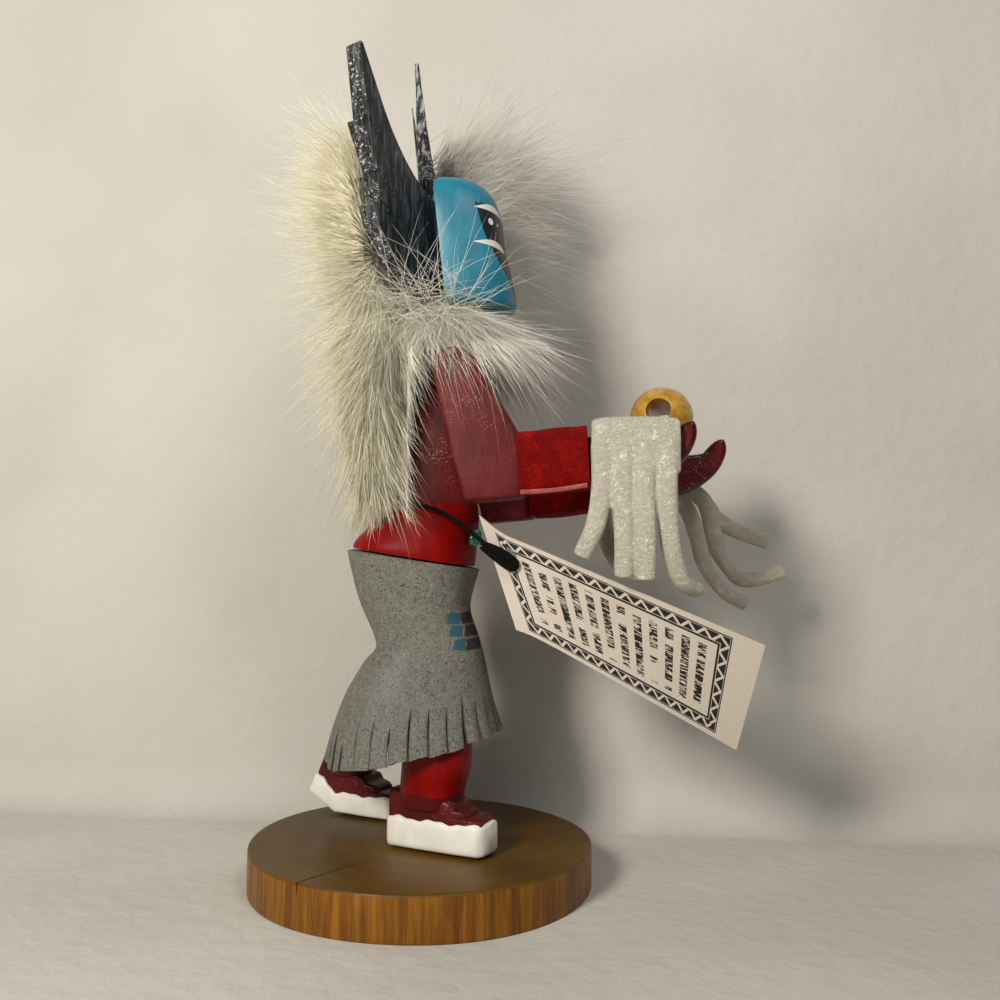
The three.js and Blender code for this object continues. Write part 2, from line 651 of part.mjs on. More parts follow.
// ---------- fur: a wrap of rabbit fur round the shoulders and down the back ----------
function furWrap() {
  const cape = ovals([
    { y: 8, z: 60.5, rx: 6.5, ry: 2.4 },
    { y: 7.8, z: 65, rx: 11, ry: 5 },
    { y: 7.4, z: 73, rx: 14, ry: 7.4 },
    { y: 7.4, z: 84, rx: 16.5, ry: 9.2 },
    { y: 8.2, z: 95, rx: 18, ry: 9.6 },
    { x: 0.5, y: 11, z: 106, rx: 18, ry: 8 },
    { x: 1, y: 12.4, z: 116, rx: 17, ry: 7.6 },
    { x: 1.5, y: 12.6, z: 125, rx: 13, ry: 6.6 },
    { x: 1.5, y: 12.6, z: 132, rx: 7, ry: 4 },
  ], { sides: 12 });
  const ruff = ovals([
    { y: -7, z: 84, rx: 13, ry: 14 },
    { y: -8, z: 88, rx: 17.5, ry: 18 },
    { y: -7.5, z: 93, rx: 18, ry: 16.5 },
    { y: -6, z: 97.5, rx: 15.5, ry: 12.5 },
    { y: -5.5, z: 100.5, rx: 12, ry: 9.5 },
  ], { sides: 12, slope: 0.22 });
  const tuft = ovals([
    { x: 15, y: -2, z: 96, rx: 4, ry: 7 },
    { x: 17, y: -8, z: 106, rx: 6, ry: 12 },
    { x: 19, y: -14, z: 117, rx: 7.5, ry: 16 },
    { x: 20.5, y: -18, z: 127, rx: 7.5, ry: 18 },
    { x: 21.5, y: -20, z: 135, rx: 6, ry: 15 },
    { x: 22, y: -19, z: 142, rx: 3, ry: 8 },
  ], { sides: 12 });
  return toGeometry(cut(join([cape, ruff, tuft]), [
    trunk(GAP), mask(GAP),
    arm({ ...RIGHT_ARM, grow: GAP }), arm({ ...LEFT_ARM, grow: GAP }),
    wing({ ...RIGHT_WING, grow: GAP }), wing({ ...LEFT_WING, grow: GAP }),
    tagCord(GAP),
  ]));
}

// ---------- the doll ----------
const finishes = {
  wood: { color: 0xa9713a, roughness: 0.45 },
  paint: { color: 0x8a1f22, roughness: 0.4 },
  mask: { color: 0x1f8fb4, roughness: 0.4 },
  charcoal: { color: 0x2c3036, roughness: 0.6 },
  suede: { color: 0x7f857d, roughness: 0.95 },
  redFelt: { color: 0xa80f12, roughness: 0.95 },
  creamFelt: { color: 0xd9d3bf, roughness: 0.95 },
  beadWood: { color: 0xc48a3c, roughness: 0.35 },
  stone: { color: 0x1d7f6a, roughness: 0.3 },
  card: { color: 0xd8cdc0, roughness: 0.8 },
  elastic: { color: 0x151515, roughness: 0.6 },
  fur: { color: 0xd8d0b4, roughness: 0.9 },
};

const doll = new THREE.Group();
doll.name = "kachina_doll";

function add(name, geometry, finish) {
  const piece = new THREE.Mesh(geometry, new THREE.MeshStandardMaterial({ metalness: 0, ...finishes[finish] }));
  piece.name = name;
  doll.add(piece);
}

add("base", base(), "wood");
add("figure", figure(), "paint");
add("head", head(), "mask");
add("right_wing", trimmedWing(RIGHT_WING), "charcoal");
add("left_wing", trimmedWing(LEFT_WING), "charcoal");
add("right_arm", trimmedArm(RIGHT_ARM), "paint");
add("left_arm", trimmedArm(LEFT_ARM), "paint");
add("right_cuff", cuff(RIGHT_ARM), "redFelt");
add("left_cuff", cuff(LEFT_ARM), "redFelt");
add("kilt", kilt(), "suede");
add("fringe", fringe(), "creamFelt");
add("bead", bead(), "beadWood");
add("belt_stone", beltStone(), "stone");
add("fur_wrap", furWrap(), "fur");
add("tag", tag(), "card");
add("tag_cord", tagCord(), "elastic");

export default doll;
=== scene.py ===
# %% [markdown]
# # A carved kachina doll
# This lesson dresses a small carved doll: painted wood, suede, felt, card and rabbit fur.
# The solids come from a imported CAD model, which is loaded first and never changed. Each new piece is
# made in the same frame, in metres: +Z is up, the doll faces -Y and its right side is at -X.

# %% Load the imported model and list its nodes
import math

import bmesh
import bpy
import numpy as np
from mathutils import Matrix, Vector
from mathutils.bvhtree import BVHTree


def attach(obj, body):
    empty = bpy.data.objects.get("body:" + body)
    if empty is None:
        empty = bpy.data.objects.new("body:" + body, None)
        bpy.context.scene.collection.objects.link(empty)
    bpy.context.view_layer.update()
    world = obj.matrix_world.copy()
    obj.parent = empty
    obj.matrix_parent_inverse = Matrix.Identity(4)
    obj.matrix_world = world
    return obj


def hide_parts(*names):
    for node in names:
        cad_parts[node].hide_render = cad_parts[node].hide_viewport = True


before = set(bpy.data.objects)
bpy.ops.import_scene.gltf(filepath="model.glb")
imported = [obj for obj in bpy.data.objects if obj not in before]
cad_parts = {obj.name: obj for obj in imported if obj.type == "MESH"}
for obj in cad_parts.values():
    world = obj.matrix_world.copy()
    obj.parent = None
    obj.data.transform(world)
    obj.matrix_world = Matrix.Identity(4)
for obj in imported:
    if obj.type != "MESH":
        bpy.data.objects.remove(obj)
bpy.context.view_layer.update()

print("nodes:", sorted(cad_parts))

# %% [markdown]
# ## Camera
# The camera stands low at the doll's right side, a hand's length from the base, and looks up a little.
# Its yaw, pitch and roll are three separate angles, and they turn its three directions one by one.

# %% Camera
MM = 0.001
YAW, PITCH, ROLL = math.radians(6), math.radians(3.41), math.radians(0.4)
CAMERA_PLACE = (-0.1738, -0.0316, 0.0553)

ahead = Vector((math.cos(YAW), math.sin(YAW), 0))
side = Vector((math.sin(YAW), -math.cos(YAW), 0))
up = Vector((0, 0, 1))
forward = ahead * math.cos(PITCH) + up * math.sin(PITCH)
camera_up = up * math.cos(PITCH) - ahead * math.sin(PITCH)
right_hand = side * math.cos(ROLL) + camera_up * math.sin(ROLL)
overhead = camera_up * math.cos(ROLL) - side * math.sin(ROLL)

camera_data = bpy.data.cameras.new("camera")
camera_data.lens = 36
camera_data.sensor_width = 36
camera_data.clip_start = 0.001
camera = bpy.data.objects.new("camera", camera_data)
bpy.context.scene.collection.objects.link(camera)
turn = Matrix((right_hand, overhead, -forward)).transposed()
camera.matrix_world = Matrix.Translation(CAMERA_PLACE) @ turn.to_4x4()
bpy.context.scene.camera = camera
bpy.context.scene.view_settings.view_transform = "Standard"
print("camera at", CAMERA_PLACE)

# %% [markdown]
# ## Small helpers for shapes
# Sizes are written in millimetres, as a maker would say them, and a mesh gets metres at the end.
# A finished piece rides on the doll's one body, names its finish and hides the solid that it stands for.

# %% Helpers for shapes
SAME_PLACE = 1e-6


def rgb(red, green, blue):
    """A colour given as on a screen, 0 to 255, turned to the linear values that a shader takes."""
    parts = [c / 255 for c in (red, green, blue)]
    return (*[c / 12.92 if c <= 0.04045 else ((c + 0.055) / 1.055) ** 2.4 for c in parts], 1)


def select(*objects):
    for obj in bpy.context.selected_objects:
        obj.select_set(False)
    for obj in objects:
        obj.select_set(True)
    bpy.context.view_layer.objects.active = objects[0] if objects else None


def mesh_piece(name, points, faces):
    """A new mesh from points in millimetres."""
    mesh = bpy.data.meshes.new(name)
    mesh.from_pydata([tuple(c * MM for c in p) for p in points], [], faces)
    mesh.update()
    piece = bpy.data.objects.new(name, mesh)
    bpy.context.scene.collection.objects.link(piece)
    return piece


def modify(piece, kind, **settings):
    """Adds one modifier and applies it at once."""
    select(piece)
    modifier = piece.modifiers.new(kind.title(), kind)
    for key, value in settings.items():
        setattr(modifier, key, value)
    bpy.ops.object.modifier_apply(modifier=modifier.name)
    return piece


def outward(piece):
    """Merges doubles and turns every face outwards."""
    select(piece)
    bpy.ops.object.mode_set(mode="EDIT")
    bpy.ops.mesh.select_all(action="SELECT")
    bpy.ops.mesh.remove_doubles(threshold=SAME_PLACE)
    bpy.ops.mesh.normals_make_consistent(inside=False)
    bpy.ops.object.mode_set(mode="OBJECT")
    return piece


def smooth(piece, degrees=40):
    select(piece)
    bpy.ops.object.shade_smooth_by_angle(angle=math.radians(degrees))
    return piece


def copy_of(node, name):
    """A copy of a CAD solid with its corners merged, to be worked on."""
    piece = bpy.data.objects.new(name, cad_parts[node].data.copy())
    bpy.context.scene.collection.objects.link(piece)
    select(piece)
    bpy.ops.object.mode_set(mode="EDIT")
    bpy.ops.mesh.select_all(action="SELECT")
    bpy.ops.mesh.remove_doubles(threshold=SAME_PLACE)
    bpy.ops.object.mode_set(mode="OBJECT")
    return piece


def put_on_doll(piece, slot, *nodes):
    """Gives a finished piece its body and hides the solids that it stands for; its slot is not used."""
    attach(piece, "root")
    if nodes:
        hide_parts(*nodes)
    print(piece.name, len(piece.data.polygons), "faces")
    return piece


def place(piece, slot, material, *nodes):
    """Puts a piece of one material on the doll."""
    piece.data.materials.clear()
    piece.data.materials.append(material)
    return put_on_doll(piece, slot, *nodes)


def spline(values, t):
    """A smooth curve through equally spaced values, read at t from 0 to 1."""
    values = np.asarray(values, float)
    last = len(values) - 1
    s = np.clip(np.asarray(t, float), 0, 1) * last
    i = np.minimum(s.astype(int), last - 1)
    f = (s - i).reshape(s.shape + (1,) * (values.ndim - 1))
    a, b = values[np.maximum(i - 1, 0)], values[i]
    c, d = values[i + 1], values[np.minimum(i + 2, last)]
    return b + 0.5 * f * (c - a + f * (2 * a - 5 * b + 4 * c - d + f * (3 * (b - c) + d - a)))


def dense(rows, count, keys):
    """Rows of named numbers, filled in to count rows by smooth curves."""
    table = np.array([[row.get(key, 0) for key in keys] for row in rows])
    return [dict(zip(keys, line)) for line in spline(table, np.linspace(0, 1, count))]


def oval(x=0, y=0, z=0, rx=1, ry=1, power=2, slope=0, turned=0, sides=64):
    """A level oval ring; power squares it off, slope tips it along Y."""
    angle = np.arange(sides) / sides * 2 * math.pi
    c, s = np.cos(angle), np.sin(angle)
    px = rx * np.sign(c) * np.abs(c) ** (2 / power)
    py = ry * np.sign(s) * np.abs(s) ** (2 / power)
    qx = px * math.cos(turned) - py * math.sin(turned)
    qy = px * math.sin(turned) + py * math.cos(turned)
    return np.stack([x + qx, y + qy, z + slope * qy], 1)


def loft(name, rings, looped=False):
    """A skin over a stack of equal rings, capped at both ends unless it is looped."""
    sides, count = len(rings[0]), len(rings)
    faces = []
    for i in range(count if looped else count - 1):
        a, b = i * sides, (i + 1) % count * sides
        faces += [(a + j, a + (j + 1) % sides, b + (j + 1) % sides, b + j) for j in range(sides)]
    if not looped:
        faces += [tuple(range(sides))[::-1], tuple(range((count - 1) * sides, count * sides))]
    return outward(mesh_piece(name, np.concatenate(rings), faces))


def carved(name, rows, count=48, **shared):
    """A rounded form through rows of ovals."""
    keys = ("x", "y", "z", "rx", "ry", "slope")
    return loft(name, [oval(**row, **shared) for row in dense(rows, count, keys)])


def ribbon(name, line, width, thickness, start, end=None, steps=40, power=3.0, taper=0.0):
    """A soft flat strip swept along a line; its width turns from one direction to another."""
    t = np.linspace(0, 1, steps)
    middle = spline(np.array(line, float), t)
    tangent = np.gradient(middle, axis=0)
    tangent /= np.linalg.norm(tangent, axis=1)[:, None]
    wide = np.outer(1 - t, start) + np.outer(t, end if end is not None else start)
    wide -= tangent * (wide * tangent).sum(1)[:, None]
    wide /= np.linalg.norm(wide, axis=1)[:, None]
    out = np.cross(tangent, wide)
    section = oval(rx=width / 2, ry=thickness / 2, power=power, sides=20)
    sizes = 1 - taper * t ** 3
    rings = [m + k * (np.outer(section[:, 0], w) + np.outer(section[:, 1], o))
             for m, w, o, k in zip(middle, wide, out, sizes)]
    return loft(name, rings)


print("helpers ready")

# %% [markdown]
# ## Shared surface effects
# Four effects come back on many finishes: grain or brush marks, small worn specks, the nap of suede
# and felt, and a slow drift of colour. Each is a shader node group, so that it is built once.

# %% Helpers for shader nodes
def node(tree, kind, values=(), **settings):
    """Adds a node; values sets its inputs to numbers or links them to other sockets."""
    made = tree.nodes.new(kind)
    for key, value in settings.items():
        setattr(made, key, value)
    for key, value in dict(values).items():
        if isinstance(value, bpy.types.NodeSocket):
            tree.links.new(value, made.inputs[key])
        else:
            made.inputs[key].default_value = value
    return made


def maths(tree, operation, *values, clamp=False):
    """One Math node; the short names after it stand for the sums that come back most."""
    made = node(tree, "ShaderNodeMath", dict(enumerate(values)), operation=operation)
    made.use_clamp = clamp
    return made.outputs[0]


def plus(tree, a, b):
    return maths(tree, "ADD", a, b)


def minus(tree, a, b):
    return maths(tree, "SUBTRACT", a, b)


def times(tree, a, b):
    return maths(tree, "MULTIPLY", a, b)


def over(tree, a, b):
    return maths(tree, "DIVIDE", a, b)


def below(tree, value, limit):
    return maths(tree, "LESS_THAN", value, limit)


def above(tree, value, limit):
    return maths(tree, "GREATER_THAN", value, limit)


def between(tree, value, low, high):
    return times(tree, above(tree, value, low), below(tree, value, high))


def distance(tree, a, b):
    """The length of a step of a one way and b the other."""
    return maths(tree, "SQRT", plus(tree, maths(tree, "POWER", a, 2.0), maths(tree, "POWER", b, 2.0)))


def ramp(tree, value, low, high):
    """0 below low, 1 above high, smooth between."""
    made = node(tree, "ShaderNodeMapRange", {"Value": value, "From Min": low, "From Max": high})
    made.interpolation_type = "SMOOTHSTEP"
    return made.outputs["Result"]


def blend(tree, factor, a, b):
    made = node(tree, "ShaderNodeMix", data_type="RGBA")
    colours = [s for s in made.inputs if s.type == "RGBA"]
    for socket, value in ((made.inputs["Factor"], factor), (colours[0], a), (colours[1], b)):
        if isinstance(value, bpy.types.NodeSocket):
            tree.links.new(value, socket)
        else:
            socket.default_value = value
    return [s for s in made.outputs if s.type == "RGBA"][0]


def effect_group(name, inputs):
    """An empty node group with a Vector, the named number inputs and one Value output."""
    group = bpy.data.node_groups.new(name, "ShaderNodeTree")
    group.interface.new_socket("Vector", in_out="INPUT", socket_type="NodeSocketVector")
    for key, value in inputs.items():
        socket = group.interface.new_socket(key, in_out="INPUT", socket_type="NodeSocketFloat")
        socket.default_value = value
    group.interface.new_socket("Value", in_out="OUTPUT", socket_type="NodeSocketFloat")
    start, end = node(group, "NodeGroupInput"), node(group, "NodeGroupOutput")
    return group, start.outputs, end.inputs["Value"]


def effect(tree, group, vector, **values):
    made = node(tree, "ShaderNodeGroup", node_tree=group)
    tree.links.new(vector, made.inputs["Vector"])
    for key, value in values.items():
        made.inputs[key.replace("_", " ")].default_value = value
    return made.outputs["Value"]


# %% Grain, specks, nap and drift
GRAIN, ends, out = effect_group(
    "grain", {"Scale": 900.0, "Along X": 1.0, "Along Y": 1.0, "Along Z": 0.1})
stretch = node(GRAIN, "ShaderNodeCombineXYZ", {
    0: ends["Along X"], 1: ends["Along Y"], 2: ends["Along Z"]})
stretched = node(GRAIN, "ShaderNodeVectorMath", {
    0: ends["Vector"], 1: stretch.outputs[0]}, operation="MULTIPLY")
streaks = node(GRAIN, "ShaderNodeTexNoise", {
    "Vector": stretched.outputs[0], "Scale": ends["Scale"],
    "Detail": 6.0, "Roughness": 0.62, "Distortion": 0.3})
GRAIN.links.new(ramp(GRAIN, streaks.outputs[0], 0.3, 0.7), out)

SPECKS, ends, out = effect_group(
    "specks", {"Scale": 2500.0, "Cover": 0.3, "Patch Scale": 250.0, "Patchy": 0.3})
fine = node(SPECKS, "ShaderNodeTexNoise", {
    "Vector": ends["Vector"], "Scale": ends["Scale"], "Detail": 3.0})
broad = node(SPECKS, "ShaderNodeTexNoise", {
    "Vector": ends["Vector"], "Scale": ends["Patch Scale"], "Detail": 2.0})
lift = times(SPECKS, minus(SPECKS, broad.outputs[0], 0.5), ends["Patchy"])
level = plus(SPECKS, fine.outputs[0], lift)
limit = minus(SPECKS, 0.72, times(SPECKS, ends["Cover"], 0.4))
shown = maths(SPECKS, "MULTIPLY", minus(SPECKS, level, limit), 14.0, clamp=True)
SPECKS.links.new(shown, out)

NAP, ends, out = effect_group("nap", {"Scale": 2600.0, "Lumps": 500.0})
hairs = node(NAP, "ShaderNodeTexNoise", {
    "Vector": ends["Vector"], "Scale": ends["Scale"], "Detail": 5.0, "Roughness": 0.7, "Distortion": 1.2})
lumps = node(NAP, "ShaderNodeTexNoise", {
    "Vector": ends["Vector"], "Scale": ends["Lumps"], "Detail": 3.0})
mixed = plus(NAP, times(NAP, hairs.outputs[0], 0.7), times(NAP, lumps.outputs[0], 0.3))
NAP.links.new(ramp(NAP, mixed, 0.41, 0.59), out)

DRIFT, ends, out = effect_group("drift", {"Scale": 80.0})
slow = node(DRIFT, "ShaderNodeTexNoise", {
    "Vector": ends["Vector"], "Scale": ends["Scale"], "Detail": 2.0})
DRIFT.links.new(ramp(DRIFT, slow.outputs[0], 0.35, 0.65), out)
print("effects:", [g.name for g in (GRAIN, SPECKS, NAP, DRIFT)])

# %% Helper for a finish
def finish(name, roughness, **sockets):
    """A new material; gives its tree, its Principled shader and the Object coordinates."""
    material = bpy.data.materials.new(name)
    material.use_nodes = True
    tree = material.node_tree
    shader = tree.nodes["Principled BSDF"]
    shader.inputs["Roughness"].default_value = roughness
    for key, value in sockets.items():
        shader.inputs[key.replace("_", " ")].default_value = value
    print("finish:", name)
    return material, tree, shader, node(tree, "ShaderNodeTexCoord").outputs["Object"]


def colour(tree, shader, value):
    tree.links.new(value, shader.inputs["Base Color"])


def bump(tree, shader, height, distance, strength=1.0):
    """Raises the surface by height times distance, in millimetres."""
    made = node(tree, "ShaderNodeBump", {"Height": height, "Distance": distance * MM, "Strength": strength})
    tree.links.new(made.outputs["Normal"], shader.inputs["Normal"])


def axes(tree, point):
    """X, Y and Z of a point, in millimetres."""
    scaled = node(tree, "ShaderNodeVectorMath", {0: point, "Scale": 1 / MM}, operation="SCALE")
    parts = node(tree, "ShaderNodeSeparateXYZ", {0: scaled.outputs[0]}).outputs
    return parts[0], parts[1], parts[2]


def paint(name, main, dark, worn=None, gloss=0.38, specks=0.0, coat=0.15, shine=0.35, boot=None):
    """Brushed acrylic paint: streaky, and worn to a paler tone in places.

    A boot is a height and a colour: what is lower on a leg is painted in that colour.
    """
    material, tree, shader, point = finish(name, gloss, Coat_Weight=coat, Coat_Roughness=0.25)
    shader.inputs["Specular IOR Level"].default_value = shine
    brush = effect(tree, GRAIN, point, Scale=420.0, Along_Z=0.35)
    drift = effect(tree, DRIFT, point, Scale=140.0)
    tone = blend(tree, times(tree, plus(tree, brush, drift), 0.5), dark, main)
    if worn:
        spots = effect(tree, SPECKS, point, Scale=3200.0, Cover=specks, Patch_Scale=160.0, Patchy=0.55)
        tone = blend(tree, spots, tone, worn)
    if boot:
        ragged = plus(tree, axes(tree, point)[2], times(tree, drift, 0.5))
        tone = blend(tree, below(tree, ragged, boot[0]), tone, boot[1])
    colour(tree, shader, tone)
    bump(tree, shader, brush, 0.05)
    return material


print("finish helpers ready")

# %% [markdown]
# ## Base
# The base is a slice of a branch: golden bark-side wood with upright grain, and darker olive-brown rings on
# top under varnish. The top is darker than the side partly by its end grain's own tone and partly by painted
# shade. A cylinder is bevelled, its rim is moved in and out a little as a sanded slice is, and one drying
# crack is cut from the rim inwards.

# %% Varnished wood
PITH = (3.0, -4.0)


def base_finish():
    material, tree, shader, point = finish("varnished_wood", 0.5, Coat_Weight=0.12, Coat_Roughness=0.2)
    shader.inputs["Specular IOR Level"].default_value = 0.25
    x, y, z = axes(tree, point)
    upright = effect(tree, GRAIN, point, Scale=620.0, Along_Z=0.06)
    fleck = effect(tree, GRAIN, point, Scale=1500.0, Along_Z=0.1)
    patch = effect(tree, DRIFT, point, Scale=45.0)
    side_wood = blend(tree, upright, rgb(104, 60, 4), rgb(158, 104, 18))
    side_wood = blend(tree, times(tree, fleck, 0.4), side_wood, rgb(74, 38, 2))
    warp = effect(tree, DRIFT, point, Scale=60.0)
    far = distance(tree, minus(tree, x, PITH[0]), minus(tree, y, PITH[1]))
    bent = plus(tree, far, times(tree, warp, 4.0))
    rings = times(tree, plus(tree, maths(tree, "SINE", times(tree, bent, 1.25)), 1.0), 0.5)
    # Painted shade in part: the top is painted darker than the side, besides the end grain's own tone.
    top_wood = blend(tree, times(tree, rings, 0.3), rgb(96, 66, 3), rgb(116, 84, 10))
    top_wood = blend(tree, times(tree, patch, 0.7), top_wood, rgb(66, 44, 2))
    on_top = ramp(tree, z, 6.55, 7.0)
    colour(tree, shader, blend(tree, on_top, side_wood, top_wood))
    bump(tree, shader, times(tree, upright, minus(tree, 1.0, on_top)), 0.08)
    return material


BASE_RADIUS, BASE_HEIGHT = 29.8, 7.1
select()
bpy.ops.mesh.primitive_cylinder_add(
    vertices=180, radius=BASE_RADIUS * MM, depth=BASE_HEIGHT * MM, location=(0, 0, BASE_HEIGHT / 2 * MM))
base = bpy.context.object
base.name = "wood_slice"
bpy.ops.object.transform_apply(location=True)
bpy.ops.object.mode_set(mode="EDIT")
bpy.ops.mesh.select_mode(type="FACE")
for inset in (1.0, 4.0, 6.0, 6.0):
    bpy.ops.mesh.select_all(action="DESELECT")
    bpy.ops.object.mode_set(mode="OBJECT")
    top = max(base.data.polygons, key=lambda p: (p.normal.z, len(p.vertices)))
    top.select = True
    bpy.ops.object.mode_set(mode="EDIT")
    bpy.ops.mesh.inset(thickness=inset * MM)
bpy.ops.object.mode_set(mode="OBJECT")
for vertex in base.data.vertices:
    x, y, z = [c / MM for c in vertex.co]
    away, angle = math.hypot(x, y), math.atan2(y, x)
    if away > BASE_RADIUS - 0.5:
        away += 0.22 * math.sin(2 * angle + 0.6) + 0.13 * math.sin(5 * angle + 2) - 0.35
        vertex.co.x, vertex.co.y = away * math.cos(angle) * MM, away * math.sin(angle) * MM
modify(base, "BEVEL", width=0.75 * MM, segments=4, limit_method="ANGLE", angle_limit=math.radians(60))

# %% Drying crack
crack = mesh_piece("crack", [
    (-31, 16.9, 7.4), (-31, 17.5, 7.4), (-7.5, 2.4, 7.4), (-31, 17.2, 4.5), (-7.5, 2.4, 6.4)],
    [(0, 1, 2), (0, 3, 1), (1, 3, 4, 2), (0, 2, 4, 3)])
outward(crack)
modify(base, "BOOLEAN", operation="DIFFERENCE", object=crack, solver="EXACT")
bpy.data.objects.remove(crack)
place(smooth(base, 30), "base_wood", base_finish(), "base")

# %% [markdown]
# ## Figure
# Feet, legs, hips and chest are one carving. It is made as a few rounded forms that run into each other,
# and each form has its own paint. A boot is a second colour below a given height on a leg.

# %% Paints
maroon_paint = paint("maroon_paint", rgb(112, 32, 34), rgb(84, 18, 22), worn=rgb(164, 116, 110), specks=0.16,
                     gloss=0.5, coat=0.02, shine=0.2)
scarlet_paint = paint("scarlet_paint", rgb(138, 7, 4), rgb(112, 2, 2), gloss=0.5, coat=0.02, shine=0.12)
moccasin_paint = paint("moccasin_paint", rgb(98, 22, 24), rgb(66, 10, 14), worn=rgb(140, 90, 88), specks=0.14,
                       gloss=0.42, coat=0.1, shine=0.2)
white_paint = paint("white_paint", rgb(248, 246, 240), rgb(230, 227, 218), gloss=0.28, coat=0.35)

# %% Hips, chest and neck
hips = carved("hips", [
    {"y": 1.75, "z": 55.7, "rx": 10.4, "ry": 10.5, "slope": 0.15},
    {"y": 1.3, "z": 57.4, "rx": 10.3, "ry": 10.3, "slope": 0.13},
    {"y": -0.9, "z": 62.4, "rx": 8.7, "ry": 8.6, "slope": 0.08},
    {"y": -1.5, "z": 65, "rx": 8, "ry": 7.9, "slope": 0.04},
], count=24, power=2.4)
place(smooth(hips, 50), "body_paint", scarlet_paint, "figure")
chest = carved("chest", [
    {"y": -1.1, "z": 63.2, "rx": 8.2, "ry": 8.2, "slope": 0.04},
    {"y": -1.5, "z": 65, "rx": 7.9, "ry": 7.8, "slope": 0.04},
    {"y": -2.8, "z": 71, "rx": 7.6, "ry": 7.2},
    {"y": -5, "z": 80, "rx": 7.8, "ry": 6.8},
    {"y": -6.6, "z": 87, "rx": 7.9, "ry": 5.8},
    {"y": -7.4, "z": 91.5, "rx": 6, "ry": 4.8},
    {"y": -7.9, "z": 94, "rx": 4.4, "ry": 4.2},
    {"y": -8.1, "z": 98.6, "rx": 4.2, "ry": 4},
], count=48, power=2.4)
place(smooth(chest, 50), "body_paint", maroon_paint)

# %% Legs
FACING = math.radians(20.4)
leg_paint = paint("leg_paint", rgb(138, 7, 4), rgb(112, 2, 2), gloss=0.45, coat=0.05, shine=0.15,
                  boot=(16.8, rgb(84, 16, 17)))
right_leg = carved("right_leg", [
    {"x": -5.3, "y": -2.5, "z": 14.2, "rx": 4.4, "ry": 5.4},
    {"x": -5.5, "y": -2.9, "z": 17, "rx": 4.7, "ry": 5.5},
    {"x": -6.3, "y": -3.8, "z": 23, "rx": 5.1, "ry": 5.8},
    {"x": -5, "y": -3.2, "z": 31, "rx": 4.5, "ry": 5},
    {"x": -3.6, "y": -1.9, "z": 40, "rx": 3.6, "ry": 4.2},
], power=2.3, turned=-FACING, sides=48)
place(smooth(right_leg), "body_paint", leg_paint)
left_leg = carved("left_leg", [
    {"x": 15.6, "y": 16.6, "z": 14.6, "rx": 3.4, "ry": 4},
    {"x": 14.6, "y": 15.2, "z": 18, "rx": 3.3, "ry": 3.6},
    {"x": 12.4, "y": 12.4, "z": 22, "rx": 3.2, "ry": 3.4},
    {"x": 8, "y": 6.3, "z": 31, "rx": 3.2, "ry": 3.4},
    {"x": 3.6, "y": 1.2, "z": 40, "rx": 3.4, "ry": 3.6},
], power=2.3, turned=-FACING, sides=48)
place(smooth(left_leg), "body_paint", leg_paint)

# %% Feet
SOLE_Z, FOOT_WIDTH, BALL = 7.4, 7.6, 0.66


def foot_form(name, x, y, heading, length, sole, lift, sections, wavy=0.0):
    """A form along the foot; a section is station, width, low and high. Station 0 is the toe."""
    along = np.array([math.sin(heading), math.cos(heading), 0])
    across = np.array([math.cos(heading), -math.sin(heading), 0])
    angle = (np.arange(40) + 0.5) / 40 * 2 * math.pi
    u = np.sign(np.cos(angle)) * np.abs(np.cos(angle)) ** 0.3
    w = (np.sign(np.sin(angle)) * np.abs(np.sin(angle)) ** 0.3 + 1) / 2
    table = np.array(sections)
    rings = []
    for station in np.linspace(table[0, 0], table[-1, 0], 48):
        width, low, high = [np.interp(station, table[:, 0], table[:, k]) for k in (1, 2, 3)]
        behind = max(0, (station - BALL) / (1 - BALL))
        lean = lift / ((1 - BALL) * length) * behind
        wave = wavy * (np.sin(station * 17 + 1 + 2 * u) + 0.6 * np.sin(station * 41 + 3 * u))
        height = low + (high - low + wave) * w
        place_along = (station - 0.5) * length - lean * height
        ring = np.array([x, y, 0]) + np.outer(place_along, along) + np.outer(u * width / 2, across)
        ring[:, 2] = SOLE_Z + lift * behind + height
        rings.append(ring)
    return loft(name, rings)


def foot(side_name, **spot):
    thick = spot["sole"]
    sole = foot_form(side_name + "_sole", **spot, wavy=0.2, sections=[
        (0, FOOT_WIDTH * 0.56, 0.5, thick - 0.35), (0.015, FOOT_WIDTH * 0.74, 0.15, thick - 0.1),
        (0.06, FOOT_WIDTH * 0.95, 0, thick), (0.3, FOOT_WIDTH, 0, thick), (BALL, FOOT_WIDTH, 0, thick),
        (0.96, FOOT_WIDTH * 0.95, 0, thick), (0.985, FOOT_WIDTH * 0.88, 0.1, thick - 0.05),
        (1, FOOT_WIDTH * 0.78, 0.3, thick - 0.3)])
    place(smooth(sole, 50), "body_paint", white_paint)
    toe_box = foot_form(side_name + "_moccasin", **spot, sections=[
        (0.03, FOOT_WIDTH * 0.66, thick - 1.2, thick + 0.5),
        (0.12, FOOT_WIDTH * 0.86, thick - 1.2, thick + 0.8),
        (0.6, FOOT_WIDTH * 0.88, thick - 1.2, thick + 1),
        (0.97, FOOT_WIDTH * 0.78, thick - 1.2, thick + 0.8)])
    place(smooth(toe_box, 50), "body_paint", moccasin_paint)
    instep = foot_form(side_name + "_instep", **spot, sections=[
        (0.2, FOOT_WIDTH * 0.66, thick - 1, thick + 1.4), (0.23, FOOT_WIDTH * 0.74, thick - 1, thick + 1.8),
        (0.32, FOOT_WIDTH * 0.84, thick - 1, thick + 2.2), (0.35, FOOT_WIDTH * 0.86, thick - 1, thick + 3.2),
        (0.42, FOOT_WIDTH * 0.88, thick - 1, thick + 3.6), (0.47, FOOT_WIDTH * 0.88, thick - 1, thick + 4.3),
        (0.7, FOOT_WIDTH * 0.88, thick - 1, thick + 4.4), (0.98, FOOT_WIDTH * 0.76, thick - 1, thick + 4.2)])
    place(smooth(instep, 50), "body_paint", moccasin_paint)


